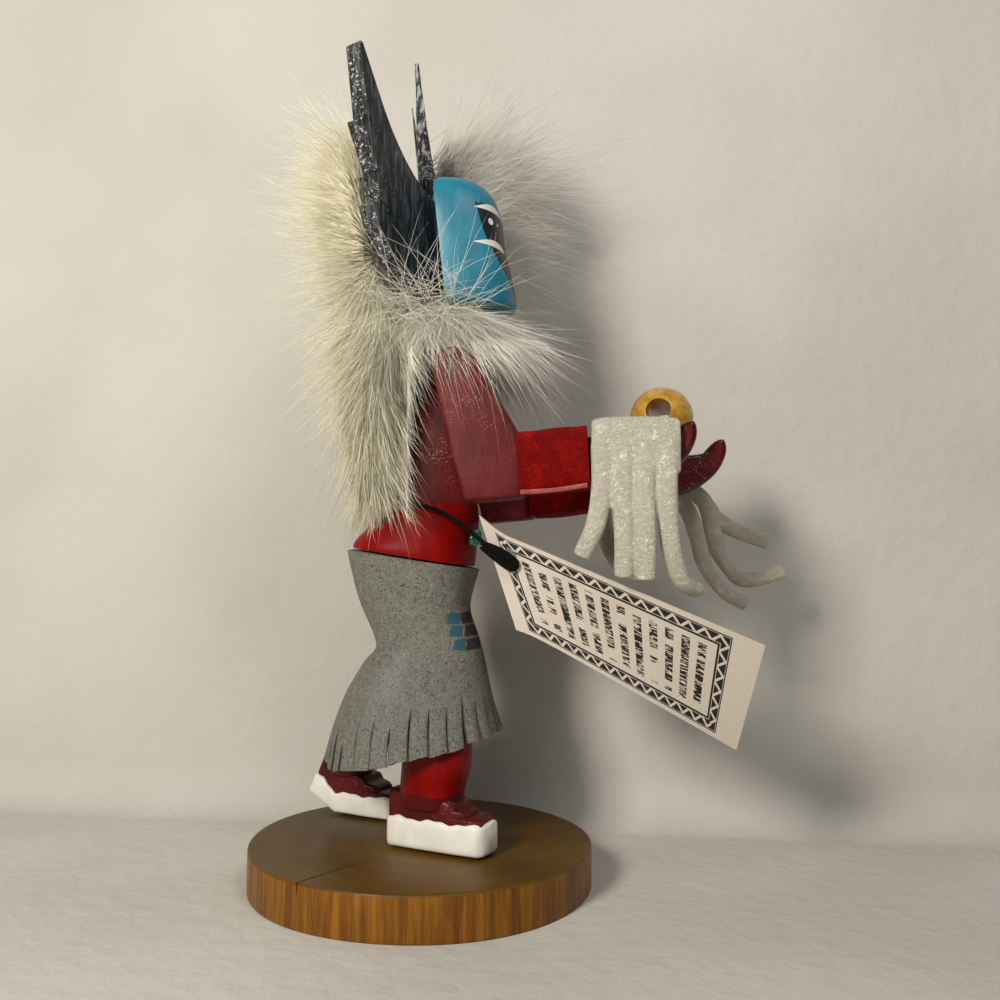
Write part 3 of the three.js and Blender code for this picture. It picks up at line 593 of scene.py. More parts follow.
foot("right", x=-6.3, y=-4.8, heading=FACING, length=18.2, sole=5.2, lift=0)
foot("left", x=15.7, y=14.9, heading=math.radians(23), length=19.6, sole=4, lift=3.3)

# %% [markdown]
# ## Kilt
# The kilt is a tube of grey suede, pinched behind the knees and pushed out by the trailing leg, with its
# hem cut into strips that curl. Each strip is its own band of the tube, so that its sides can part below
# the top of a cut, and the bands are welded above it. Solidify gives the suede its thickness. The sides of
# the cuts are darkened with painted shade.

# %% Suede
SQUARE_HALF = 0.92


def suede_finish():
    material, tree, shader, point = finish("grey_suede", 0.95, Sheen_Weight=0.25, Sheen_Roughness=0.5)
    shader.inputs["Specular IOR Level"].default_value = 0.2
    nap = effect(tree, NAP, point, Scale=1300.0, Lumps=420.0)
    fine = effect(tree, NAP, point, Scale=4200.0, Lumps=900.0)
    # Painted highlights in part: pale curls on the nap, partly the fibres' own colour and partly painted
    # glints of light.
    curls = node(tree, "ShaderNodeTexNoise", {
        "Vector": point, "Scale": 1050.0, "Detail": 2.0, "Roughness": 0.5, "Distortion": 3.2})
    ridge = maths(tree, "ABSOLUTE", minus(tree, curls.outputs[0], 0.5))
    fibre_and_glint = maths(tree, "SUBTRACT", 1.0, times(tree, ridge, 8.0), clamp=True)
    tone = blend(tree, nap, rgb(34, 38, 35), rgb(134, 138, 128))
    tone = blend(tree, times(tree, fine, 0.4), tone, rgb(176, 178, 164))
    tone = blend(tree, times(tree, fibre_and_glint, 0.8), tone, rgb(232, 231, 212))
    # Painted shade: the cut attribute darkens the sides of the slits, where shade falls between the strips.
    cut = node(tree, "ShaderNodeAttribute", attribute_name="cut").outputs["Fac"]
    tone = blend(tree, times(tree, cut, 0.8), tone, rgb(36, 37, 34))
    x, y, z = axes(tree, point)
    for column, shade in enumerate((rgb(30, 132, 160), rgb(58, 14, 18))):
        for row in range(3):
            wide = maths(tree, "ABSOLUTE", minus(tree, y, -6.4 - 2.0 * column - 0.5 * row))
            tall = maths(tree, "ABSOLUTE", minus(tree, z, 45.4 - 2.2 * row))
            ragged = times(tree, minus(tree, nap, 0.5), 0.3)
            edge = plus(tree, maths(tree, "MAXIMUM", wide, tall), ragged)
            mark = times(tree, below(tree, edge, SQUARE_HALF), below(tree, x, 0.0))
            tone = blend(tree, mark, tone, shade)
    colour(tree, shader, tone)
    bump(tree, shader, plus(tree, plus(tree, nap, fine), fibre_and_glint), 0.5)
    return material


SUEDE = 1
KILT_CUTS, BAND_SIDES, KILT_LEVELS = 28, 8, 72
STRIDE, STRIDE_SPREAD, GAP = math.atan2(11.5, 11), 0.55, 0.5
KILT_ROWS = [
    {"x": 0, "y": 1.9, "z": 55.4, "rx": 10.6, "ry": 10.6, "slope": 0.15, "bulge": 0},
    {"x": 0, "y": 1.6, "z": 48, "rx": 9.7, "ry": 8.8, "slope": 0.11, "bulge": 0},
    {"x": 0, "y": -0.9, "z": 41, "rx": 8.9, "ry": 8, "slope": -0.04, "bulge": 0},
    {"x": 0.1, "y": -0.2, "z": 37, "rx": 10.2, "ry": 9.7, "slope": -0.05, "bulge": 1.8},
    {"x": 0.2, "y": 0.7, "z": 32, "rx": 12.2, "ry": 11.6, "slope": -0.06, "bulge": 3.6},
    {"x": 0.4, "y": 1.2, "z": 27, "rx": 13.9, "ry": 13.1, "slope": -0.14, "bulge": 5.2},
    {"x": 0.5, "y": 1.2, "z": 22.6, "rx": 15, "ry": 14.2, "slope": -0.225, "bulge": 6.6},
]


def kilt_point(row, angle):
    """A place on the uncut tube; the trailing leg pushes it out on one side."""
    off = (angle - STRIDE + math.pi) % (2 * math.pi) - math.pi
    push = row["bulge"] * math.exp(-((off / STRIDE_SPREAD) ** 2))
    px, py = row["rx"] * math.cos(angle), row["ry"] * math.sin(angle)
    grown = 1 + push / math.hypot(px, py)
    return Vector((row["x"] + px * grown, row["y"] + py * grown, row["z"] + row["slope"] * py))


def cut_height(number):
    """The cuts are longest in front and shortest behind."""
    return 7 - 3 * math.sin((number + 0.5) / KILT_CUTS * 2 * math.pi) + 1.2 * math.sin(number * 2.3)


def strip_point(row, hem, band, column, curl, twist, shorten):
    """A place on one strip of the hem, and how much painted shade it gets on the side of an open cut."""
    part = column / BAND_SIDES
    angle = (band + 0.5 + part) / KILT_CUTS * 2 * math.pi
    height = row["z"] - hem
    left = max(0, 1 - height / cut_height(band))
    right = max(0, 1 - height / cut_height((band + 1) % KILT_CUTS))
    open_now = left * (1 - part) + right * part
    point = kilt_point(row, angle)
    round_the_tube = Vector((-math.sin(angle), math.cos(angle), 0))
    point += round_the_tube * (GAP * (left ** 0.7 * (1 - part) ** 3 - right ** 0.7 * part ** 3))
    out = Vector((math.cos(angle), math.sin(angle), 0.15))
    cupped = 0.3 * open_now * (2 * part - 1) ** 2
    point += out * (curl * open_now ** 2 + twist * (part - 0.5) * open_now - cupped)
    ragged = 0.12 * math.sin(angle * 61) * math.sin(angle * 37) * (height < 0.4)
    point.z += shorten * open_now + ragged
    # Painted shade along the sides of an open cut, stronger towards the hem.
    slit_shade = min(1.0, 3 * left) * (column == 0) + min(1.0, 3 * right) * (column == BAND_SIDES)
    return point, slit_shade


def build_kilt():
    levels = dense(KILT_ROWS, KILT_LEVELS, tuple(KILT_ROWS[0]))
    points, faces, cut = [], [], []
    draw = np.random.default_rng(5)
    for band in range(KILT_CUTS):
        curl, twist = draw.uniform(-0.5, 0.15), draw.uniform(-0.5, 0.5)
        shorten = draw.uniform(-0.25, 0.25)
        first = len(points)
        for row in levels:
            for column in range(BAND_SIDES + 1):
                point, slit_shade = strip_point(row, levels[-1]["z"], band, column, curl, twist, shorten)
                points.append(point)
                cut.append(slit_shade)
        for i in range(KILT_LEVELS - 1):
            for j in range(BAND_SIDES):
                a = first + i * (BAND_SIDES + 1) + j
                b = a + BAND_SIDES + 1
                faces.append((a, a + 1, b + 1, b))
    piece = mesh_piece("suede_kilt", points, faces)
    # The cut attribute carries the painted shade along the sides of the slits.
    layer = piece.data.attributes.new("cut", "FLOAT", "POINT")
    layer.data.foreach_set("value", np.array(cut, np.float32))
    outward(piece)
    modify(piece, "SOLIDIFY", thickness=SUEDE * MM, offset=-1, use_even_offset=False)
    return piece


kilt = build_kilt()
place(smooth(kilt, 45), "suede", suede_finish(), "kilt")

# %% [markdown]
# ## Head
# The mask is a case of wood with a flat back and a round front. Its face is painted: a black wedge that
# points down, two pale crescents on each side of it and white dots for the eyes. Paint has no thickness
# here, so each mark is a mask in the material, worked out from the place on the head. A crescent is what
# a slanting line leaves of a disc.

# %% Mask paint
def disc(tree, x, z, centre, radius, wide=1.0):
    """Signed distance in millimetres to an oval seen from the front: below 0 inside."""
    away = distance(tree, over(tree, minus(tree, x, centre[0]), wide), minus(tree, z, centre[1]))
    return minus(tree, away, radius)


CRESCENTS = [((4.35, 112.6), 4.15, 115.05, 0.09), ((5.4, 106.6), 3.65, 108.15, 0.17)]
EYE_DOTS = [((5.3, 113.6), 0.6), ((3.7, 113.4), 0.28)]
WEDGE_TOP, WEDGE_HEIGHT, WEDGE_HALF = 116.8, 17.8, 6.9


def mask_finish():
    material, tree, shader, point = finish("mask_paint", 0.45, Coat_Weight=0.1, Coat_Roughness=0.3)
    x, y, z = axes(tree, point)
    across = maths(tree, "ABSOLUTE", x)
    brush = effect(tree, GRAIN, point, Scale=500.0, Along_Z=0.3)
    drift = effect(tree, DRIFT, point, Scale=160.0)
    tone = blend(tree, times(tree, plus(tree, brush, drift), 0.5),
                 rgb(8, 104, 132), rgb(24, 132, 158))
    down = over(tree, minus(tree, WEDGE_TOP, z), WEDGE_HEIGHT)
    kept = minus(tree, 1.0, maths(tree, "POWER", maths(tree, "ABSOLUTE", down), 2.4))
    half = times(tree, kept, WEDGE_HALF)
    front = below(tree, y, -5.0)
    inside = times(tree, below(tree, across, half), below(tree, z, WEDGE_TOP - 0.2))
    tone = blend(tree, times(tree, inside, front), tone, rgb(16, 16, 19))
    for centre, radius, level, slope in CRESCENTS:
        grown = below(tree, disc(tree, across, z, centre, radius), 0.0)
        line = plus(tree, times(tree, across, slope), level)
        mark = times(tree, times(tree, grown, above(tree, z, line)), front)
        tone = blend(tree, mark, tone, rgb(226, 226, 220))
    for centre, radius in EYE_DOTS:
        eye = below(tree, disc(tree, across, z, centre, radius, 0.75), 0.0)
        tone = blend(tree, times(tree, eye, front), tone, rgb(230, 230, 225))
    colour(tree, shader, tone)
    bump(tree, shader, brush, 0.05)
    return material


HEAD_ROWS = [
    {"z": 98.9, "front": -15.2, "half": 7.6, "back": -4.7},
    {"z": 100, "front": -15.9, "half": 8.3, "back": -4.6},
    {"z": 104, "front": -15.4, "half": 8.5, "back": -4.1},
    {"z": 110, "front": -14, "half": 8.5, "back": -3.4},
    {"z": 115, "front": -13.3, "half": 8.4, "back": -2.8},
    {"z": 118.4, "front": -12.3, "half": 7.9, "back": -2.4},
    {"z": 120.6, "front": -10.6, "half": 6.9, "back": -2.3},
    {"z": 121.8, "front": -8.4, "half": 5.2, "back": -2.8},
]


def head_ring(row, sides=56):
    angle = math.pi * np.arange(sides + 1) / sides
    x = -row["half"] * np.sign(np.cos(angle)) * np.abs(np.cos(angle)) ** 0.8
    y = row["back"] + (row["front"] - row["back"]) * np.sin(angle) ** 0.85
    return np.stack([x, y, np.full_like(x, row["z"])], 1)


head = loft("mask_head", [head_ring(row) for row in dense(HEAD_ROWS, 60, ("z", "front", "half", "back"))])
modify(head, "BEVEL", width=0.5 * MM, segments=3, limit_method="ANGLE", angle_limit=math.radians(50))
place(smooth(head, 40), "mask_paint", mask_finish(), "head")

# %% [markdown]
# ## Wings
# Each wing is a thin sawn board with stepped feathers along its outer edge. The flat faces are charcoal
# paint over upright grain, and the sawn edges are dry-brushed with white. Copies of the CAD solids have
# the right outline, so they are merged, flattened into large faces and bevelled. The left board is worn:
# it is cut across at a few heights and its back and front are drawn together towards the tip. A short
# splinter stands beside it.

# %% Charcoal and dry-brushed edges
def wing_finish(name, cover, streak, dark=rgb(14, 15, 18), light=rgb(50, 53, 60)):
    material, tree, shader, point = finish(name, 0.55)
    shader.inputs["Specular IOR Level"].default_value = 0.3
    grain = effect(tree, GRAIN, point, Scale=1300.0, Along_Z=0.09)
    tone = blend(tree, grain, dark, light)
    white = effect(tree, SPECKS, point, Scale=1700.0, Cover=cover, Patch_Scale=260.0, Patchy=0.5)
    dust = effect(tree, SPECKS, point, Scale=4200.0, Cover=cover, Patch_Scale=500.0, Patchy=0.5)
    lines = effect(tree, GRAIN, point, Scale=1500.0, Along_Z=0.12)
    pale = maths(tree, "MAXIMUM", maths(tree, "MAXIMUM", white, dust),
                 times(tree, ramp(tree, lines, 0.5, 0.9), streak))
    colour(tree, shader, blend(tree, pale, tone, rgb(196, 198, 200)))
    bump(tree, shader, grain, 0.12)
    return material


board_face = wing_finish("charcoal_face", 0.0, 0.16)
right_edge = wing_finish("dry_brushed_edge", 0.24, 0.15)
left_edge = wing_finish("streaked_edge", 0.08, 0.7)
bright_arris = wing_finish("bright_arris", 0.6, 0.3, rgb(60, 62, 66), rgb(150, 150, 150))
FACE, EDGE, ARRIS = 0, 1, 2
SAW_CUT = 1.3
WORN_TIP, WORN_LENGTH = 0.2, 28


def board_back(node_name):
    """The middle of a wing board and the way that its back faces, measured from its corners."""
    corners = np.array([v.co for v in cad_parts[node_name].data.vertices]) / MM
    middle = corners.mean(0)
    back = np.linalg.svd(corners - middle, full_matrices=False)[2][2]
    return middle, back * np.sign(back[1])


def colour_the_edges(piece, back):
    """Sawn edges get the brushed material, but the walls of a saw cut face each other and stay dark."""
    shell = BVHTree.FromPolygons(
        [v.co for v in piece.data.vertices], [p.vertices for p in piece.data.polygons])
    for face in piece.data.polygons:
        flat = face.normal.dot(back)
        sideways = face.normal - back * flat
        if face.material_index != ARRIS:
            face.material_index = FACE if abs(flat) > 0.85 else EDGE
        if sideways.length > 0.1:
            sideways.normalize()
            start = face.center - back * math.copysign(0.4 * MM, flat) * (face.material_index == ARRIS)
            hit = shell.ray_cast(start + sideways * 0.3 * MM, sideways, SAW_CUT * MM)
            if hit[0] is not None:
                face.material_index = FACE


def wing(node_name, name, edge_material, worn=False):
    """A wing board; a worn one gets thinner and thinner towards its tip."""
    piece = copy_of(node_name, name)
    piece.data.materials.clear()
    middle, back = [Vector(v) for v in board_back(node_name)]
    model = bmesh.new()
    model.from_mesh(piece.data)
    bmesh.ops.dissolve_limit(model, angle_limit=math.radians(2), verts=model.verts, edges=model.edges)
    if worn:
        top = max(v.co.z for v in model.verts) / MM
        for cut in (2, 5, 9, 14, 20, WORN_LENGTH):
            everything = list(model.verts) + list(model.edges) + list(model.faces)
            bmesh.ops.bisect_plane(
                model, geom=everything, plane_co=(0, 0, (top - cut) * MM), plane_no=(0, 0, 1))
        for vertex in model.verts:
            down = min(1, (top - vertex.co.z / MM) / WORN_LENGTH)
            thin = WORN_TIP + (1 - WORN_TIP) * down + 0.05 * math.sin(down * 23) * (1 - down)
            vertex.co += back * ((thin - 1) * (vertex.co - middle * MM).dot(back))
    model.to_mesh(piece.data)
    model.free()
    modify(piece, "BEVEL", width=0.22 * MM, segments=2, limit_method="ANGLE",
           angle_limit=math.radians(30), material=ARRIS)
    for material in (board_face, edge_material, bright_arris):
        piece.data.materials.append(material)
    colour_the_edges(piece, back)
    return put_on_doll(piece, "wing_paint", node_name)


wing("right_wing", "right_wing_board", right_edge)
left_wing = wing("left_wing", "left_wing_board", left_edge, worn=True)

# %% Splinter beside the left wing's tip
tip = max((v.co / MM for v in left_wing.data.vertices), key=lambda c: c.z)
splinter = carved("wing_splinter", [
    {"x": tip.x - 1, "y": tip.y - 1.2, "z": tip.z - 25, "rx": 0.5, "ry": 0.5},
    {"x": tip.x - 0.9, "y": tip.y - 0.3, "z": tip.z - 17, "rx": 0.5, "ry": 0.4},
    {"x": tip.x - 0.7, "y": tip.y + 0.9, "z": tip.z - 9, "rx": 0.08, "ry": 0.08}], count=16, sides=8)
place(smooth(splinter), "wing_paint", left_edge)

# %% [markdown]
# ## Arms and cuffs
# The arms are L-shaped boards with cupped hands. An outline of curves is drawn from the side and given
# the board's thickness, and its edges are rounded. The left arm reaches further and hangs a little lower.
# A strip of red felt is wrapped round each forearm, and its pale cut edge shows as a seam.

# %% Arms
BOARD, ARM_X = 8, 12.2
LEFT_DROP, LEFT_REACH = 2.4, 7.4
HAND_START = -43.2
hand_paint = paint("hand_paint", rgb(92, 16, 30), rgb(48, 5, 13), worn=rgb(176, 140, 150),
                   specks=0.16, gloss=0.25, coat=0.35)


def bezier(start, *controls, steps=14):
    """Points of a Bezier curve of any degree, without its first point."""
    t = np.linspace(0, 1, steps + 1)[1:, None]
    places = np.array([start, *controls], float)
    degree = len(places) - 1
    return sum(math.comb(degree, k) * (1 - t) ** (degree - k) * t ** k * places[k] for k in range(degree + 1))


def arm_outline(drop, reach):
    """The board's edge from the side, from the shoulder round the elbow, the hand and back."""
    tip = -46 - reach
    line = [np.array([[-3.6, 87.5]])]

    def curve(*controls, steps=14):
        line.append(bezier(line[-1][-1], *controls, steps=steps))

    curve((-4.6, 83), (-5.2, 78), (-9.3, 64.4 - drop))
    line.append(np.array([[-18.6, 65.3 - drop], [-18.7, 67.2 - drop], [tip + 14, 67.9 - drop]]))
    curve((tip + 8, 68 - drop / 3), (tip + 3.4, 68.3), (tip + 1, 72.4))
    curve((tip - 0.2, 74.6), (tip - 0.2, 76), (tip + 0.4, 77.2), steps=6)
    curve((tip + 1.6, 77.6), (tip + 2.6, 76.6), (tip + 4.2, 75.2 - drop * 0.2), steps=6)
    curve((tip + 6, 74.8 - drop * 0.25), (-38, 75.5 - drop * 0.5), steps=6)
    line.append(np.array([[-17.9, 74 - drop], [-17.6, 75.9 - drop]]))
    curve((-15.5, 80 - drop), (-12.5, 83.5), (-11, 87.5))
    line.append(bezier(line[-1][-1], (-7.5, 92), (-3.6, 87.5), steps=8)[:-1])
    return np.concatenate(line)


def arm(name, node_name, middle, drop, reach):
    outline = arm_outline(drop, reach)
    count = len(outline)
    left = [(middle - BOARD / 2, y, z) for y, z in outline]
    right = [(middle + BOARD / 2, y, z) for y, z in outline]
    faces = [tuple(range(count)), tuple(range(2 * count - 1, count - 1, -1))]
    faces += [(i, (i + 1) % count, (i + 1) % count + count, i + count) for i in range(count)]
    piece = outward(mesh_piece(name, left + right, faces))
    modify(piece, "BEVEL", width=1.1 * MM, segments=5, limit_method="ANGLE", angle_limit=math.radians(60))
    piece.data.materials.append(maroon_paint)
    piece.data.materials.append(hand_paint)
    for face in piece.data.polygons:
        face.material_index = 1 if face.center.y < HAND_START * MM else 0
    return put_on_doll(smooth(piece, 35), "body_paint", node_name)


arm("right_arm_board", "right_arm", -ARM_X, 0, 0)
arm("left_arm_board", "left_arm", ARM_X, LEFT_DROP, LEFT_REACH)

# %% Red felt
def felt_finish(name, light, dark, ribs=0.0, height=0.12, sheen=0.35):
    material, tree, shader, point = finish(name, 0.95, Sheen_Weight=sheen, Sheen_Roughness=0.6)
    shader.inputs["Specular IOR Level"].default_value = 0.05
    nap = effect(tree, NAP, point, Scale=3400.0, Lumps=600.0)
    tone = blend(tree, nap, dark, light)
    if ribs:
        weave = effect(tree, GRAIN, point, Scale=1300.0, Along_X=0.5, Along_Y=0.3, Along_Z=1.0)
        nap = plus(tree, nap, times(tree, weave, ribs))
        tone = blend(tree, times(tree, weave, 0.4), tone, light)
    colour(tree, shader, tone)
    bump(tree, shader, nap, height)
    return material


FELT, CUFF_START, CUFF_END = 1, -17.8, -29
red_felt = felt_finish("red_felt", rgb(156, 10, 6), rgb(112, 3, 2), sheen=0.03)
cut_edge = felt_finish("cut_felt_edge", rgb(208, 96, 84), rgb(170, 50, 44))
CUFF_ROWS = [
    {"at": CUFF_START, "mid": 70.6, "half": 4.9}, {"at": -23.4, "mid": 71.2, "half": 4.95},
    {"at": CUFF_END, "mid": 71.7, "half": 4.9}]


def cuff(name, node_name, middle, drop):
    """A strip of felt round a forearm: an outer skin with soft dents, and an inner one a felt further in."""
    def ring(row, inset):
        level = oval(rx=BOARD / 2 + 1.3 - inset, ry=row["half"] - inset, power=9, sides=72)
        soft = 0.12 * np.sin(np.arange(72) * 0.61 + row["at"]) * (inset == 0)
        return np.stack([middle + level[:, 0] * (1 + soft * 0.05), row["at"] + 0.06 * level[:, 1],
                         row["mid"] + level[:, 1] - drop + soft * 0.6], 1)

    levels = dense(CUFF_ROWS, 20, ("at", "mid", "half"))
    rings = [ring(row, 0) for row in levels] + [ring(row, FELT) for row in reversed(levels)]
    piece = loft(name, rings, looped=True)
    place(smooth(piece, 50), "red_felt", red_felt, node_name)
    return piece


def cuff_seam(name, middle, drop):
    """The pale cut edge of the felt, where its end lies over its start low on the side."""
    way = ((CUFF_START - 0.6, 65.9), (-23.5, 66.2), (CUFF_END + 0.1, 67))
    seam = ribbon(name, [(middle, y, z - drop) for y, z in way], 0.75, 0.7, (0, 0, 1), steps=24)
    return place(smooth(seam, 60), "red_felt", cut_edge)


SEAM_X = ARM_X + BOARD / 2 + 1.35
cuff("right_felt_cuff", "right_cuff", -ARM_X, 0)
cuff("left_felt_cuff", "left_cuff", ARM_X, LEFT_DROP)
cuff_seam("right_cuff_seam", -SEAM_X, 0)
cuff_seam("left_cuff_seam", SEAM_X, LEFT_DROP)

# %% [markdown]
# ## Felt fringe
# One piece of thick cream felt lies over both hands, and both of its ends are slit into four strips. The
# saddle and strips are swept along their own lines, and a voxel remesh welds them into one soft sheet.
# A strip that turns over on its way has a second direction for its width at its end.

# %% Fringe
FRINGE_FELT, STRIP_WIDTH, STRIP_THICKNESS = 1.8, 3.3, 2.6
SADDLE_BACK, SADDLE_FRONT = -29.4, -43.4
SADDLE_LINE = [
    (-17.6, 69), (-17.6, 75.2), (-16.2, 77), (-9, 77.1), (-5, 74.4), (-1, 73.1), (3, 73.1),
    (8.5, 74.3), (15.8, 74.4), (17.6, 72.6), (17.6, 68)]
STRIPS = [
    ([(-17.4, -31, 73.5), (-17.6, -31.1, 67), (-17.2, -30.2, 61), (-15.8, -28, 56)], None),
    ([(-17.4, -34.5, 74), (-18, -34.3, 66), (-18, -34.6, 59), (-16.8, -34.5, 52.8)], None),
    ([(-17.4, -38, 74), (-18.2, -37.7, 66), (-18.4, -38, 59), (-17.2, -38, 52.4)], None),
    ([(-17.4, -41.4, 74), (-17.8, -41.2, 66), (-16.4, -41.8, 58), (-13.4, -43.6, 52.6),
      (-10, -46.4, 50.4)], None),
    ([(17.4, -31, 73), (17.8, -31.4, 62), (16.2, -34, 55), (13.4, -38.4, 52.4)], None),
    ([(17.4, -34.6, 73), (17.8, -41, 69.8), (17.6, -46.4, 66), (17.2, -48.8, 60), (17, -50.2, 54.4),
      (17, -53.6, 49.7), (17, -57.8, 47.2)], (0.85, 0.1, 0.5)),
    ([(17.4, -38, 73), (19, -45.4, 70.2), (19.6, -50.4, 66.6), (19.6, -52, 61), (19.4, -53.4, 56),
      (19.6, -57.6, 51.8), (20, -65.1, 53.6)], (0.5, 0.2, 0.85)),
    ([(17.4, -41.4, 73), (20.5, -47, 70), (21.8, -50.8, 66.4), (22, -54.6, 62.2),
      (22.4, -62.7, 58.9)], (0.1, 0.2, 1)),
]


def build_fringe():
    parts = []
    line = [(x, (SADDLE_BACK + SADDLE_FRONT) / 2, z) for x, z in SADDLE_LINE]
    parts.append(ribbon("saddle", line, SADDLE_BACK - SADDLE_FRONT, FRINGE_FELT, (0, 1, 0), steps=90))
    for number, (points, end) in enumerate(STRIPS):
        parts.append(ribbon(f"strip_{number}", points, STRIP_WIDTH, STRIP_THICKNESS, (0, 1, 0), end,
                            power=2.3, taper=0.12))
    select(*parts)
    bpy.ops.object.join()
    piece = bpy.context.object
    piece.name = piece.data.name = "felt_fringe"
    modify(piece, "REMESH", mode="VOXEL", voxel_size=0.28 * MM)
    modify(piece, "SMOOTH", factor=0.5, iterations=2)
    return piece


fringe = build_fringe()
cream_felt = felt_finish("cream_felt", rgb(255, 251, 232), rgb(240, 233, 206), ribs=1.4, height=0.22)
place(smooth(fringe, 60), "cream_felt", cream_felt, "fringe")

# %% [markdown]
# ## Bead and belt stone
# The bead is turned from honey-coloured wood and drilled; the stone is a small polished chip. A sphere
# is opened at both poles and the two rims are bridged, which gives the drilled hole its wall.

# %% Bead
BEAD_CENTRE, BEAD_RADIUS, BEAD_HOLE = Vector((-1, -41.3, 79.7)), 5.4, 1.75


def bead_finish():
    material, tree, shader, point = finish("honey_wood", 0.3, Coat_Weight=0.5, Coat_Roughness=0.15)
    grain = effect(tree, GRAIN, point, Scale=700.0, Along_X=0.12, Along_Y=1.0, Along_Z=1.0)
    tone = blend(tree, grain, rgb(164, 116, 26), rgb(206, 158, 62))
    colour(tree, shader, tone)
    bump(tree, shader, grain, 0.04)
    return material


select()
bpy.ops.mesh.primitive_uv_sphere_add(segments=64, ring_count=48, radius=BEAD_RADIUS * MM)
bead = bpy.context.object
bead.name = "wooden_bead"
bpy.ops.object.mode_set(mode="EDIT")
bpy.ops.mesh.select_mode(type="VERT")
bpy.ops.mesh.select_all(action="DESELECT")
bpy.ops.object.mode_set(mode="OBJECT")
for vertex in bead.data.vertices:
    vertex.select = math.hypot(vertex.co.x, vertex.co.y) < BEAD_HOLE * 1.02 * MM
bpy.ops.object.mode_set(mode="EDIT")
bpy.ops.mesh.delete(type="VERT")
bpy.ops.mesh.select_all(action="DESELECT")
bpy.ops.mesh.select_non_manifold(extend=False)
bpy.ops.mesh.bridge_edge_loops()
bpy.ops.object.mode_set(mode="OBJECT")
outward(bead)
modify(bead, "BEVEL", width=0.3 * MM, segments=3, limit_method="ANGLE", angle_limit=math.radians(50))
spin = Matrix.Rotation(math.radians(-10), 4, "Z") @ Matrix.Rotation(math.radians(9 + 90), 4, "Y")
bead.data.transform(Matrix.Translation(BEAD_CENTRE * MM) @ spin)
place(smooth(bead, 40), "bead_wood", bead_finish(), "bead")

# %% Belt stone
STONE_CENTRE = (-4.9, -9.7, 58.9)


def stone_finish():
    material, tree, shader, point = finish("green_stone", 0.15, Coat_Weight=0.5, Coat_Roughness=0.05)
    veins = effect(tree, GRAIN, point, Scale=1200.0, Along_Z=1.0)
    colour(tree, shader, blend(tree, veins, rgb(10, 74, 58), rgb(40, 150, 118)))
    return material


select()
bpy.ops.mesh.primitive_ico_sphere_add(subdivisions=4, radius=MM)
stone = bpy.context.object
stone.name = "green_belt_stone"
for vertex in stone.data.vertices:
    vertex.co *= 1 + 0.06 * math.sin(vertex.co.x / MM * 3.1 + 1) * math.sin(vertex.co.z / MM * 2.7)
spin = Matrix.Rotation(math.radians(-26), 4, "Z") @ Matrix.Rotation(math.radians(16), 4, "X")
flatten = Matrix.Diagonal((1.5, 0.8, 1.5, 1))
stone.data.transform(Matrix.Translation(Vector(STONE_CENTRE) * MM) @ spin @ flatten)
place(smooth(stone), "green_stone", stone_finish(), "belt_stone")

# %% [markdown]
# ## Tag and elastic
# The tag is a curled card, ruled between two gentle curves, with a punched hole. Its UV map runs along
# and across the card, so the printed border and the rows of strokes follow its curl. The strokes stand
# for print and are not letters. A black elastic runs round the waist and through the hole, and a small
# coil of the same elastic stands for its knot.

# %% Card
TAG_LENGTH, TAG_WIDTH = 52.0, 20.0
PRINT_START, PRINT_PITCH = 7.0, 3.05


def border(tree, along, across):
    """Where the printed border has ink: two rules with a row of teeth between them."""
    edge_u = maths(tree, "MINIMUM", minus(tree, along, 3.4), minus(tree, TAG_LENGTH - 5.2, along))
    edge_v = minus(tree, maths(tree, "MINIMUM", across, minus(tree, TAG_WIDTH, across)), 0.9)
    edge = maths(tree, "MINIMUM", edge_u, edge_v)
    rules = plus(tree, between(tree, edge, 0.0, 0.22), between(tree, edge, 1.9, 2.3))
    on_end = below(tree, edge_u, edge_v)
    run = plus(tree, times(tree, on_end, across), times(tree, minus(tree, 1.0, on_end), along))
    zig = times(tree, maths(tree, "PINGPONG", run, 1.4), 1 / 1.4)
    climb = over(tree, minus(tree, edge, 0.3), 1.5)
    low_tooth = below(tree, climb, minus(tree, zig, 0.12))
    high_tooth = above(tree, climb, plus(tree, zig, 0.3))
    teeth = times(tree, between(tree, edge, 0.3, 1.8), maths(tree, "MAXIMUM", low_tooth, high_tooth))
    return maths(tree, "MAXIMUM", rules, teeth)


def print_rows(tree, along, across):
    """Where rows of small random strokes have ink; they spell nothing."""
    place_in_rows = over(tree, minus(tree, along, PRINT_START), PRINT_PITCH)
    row = maths(tree, "FRACT", place_in_rows)
    number = maths(tree, "FLOOR", place_in_rows)
    cell = node(tree, "ShaderNodeCombineXYZ", {0: number, 1: over(tree, across, 0.44), 2: row})
    strokes = node(tree, "ShaderNodeTexNoise", {"Vector": cell.outputs[0], "Scale": 1.6, "Detail": 2.0})
    stroke = above(tree, strokes.outputs[0], 0.465)
    words = node(tree, "ShaderNodeCombineXYZ", {0: times(tree, number, 7.3), 1: over(tree, across, 2.6)})
    gaps = node(tree, "ShaderNodeTexNoise", {"Vector": words.outputs[0], "Scale": 1.0, "Detail": 0.0})
    word = above(tree, gaps.outputs[0], 0.36)
    rows_on_card = between(tree, along, PRINT_START, TAG_LENGTH - 8.6)
    page = times(tree, rows_on_card, between(tree, across, 4.2, TAG_WIDTH - 4.2))
    return times(tree, times(tree, between(tree, row, 0.2, 0.72), stroke), times(tree, page, word))


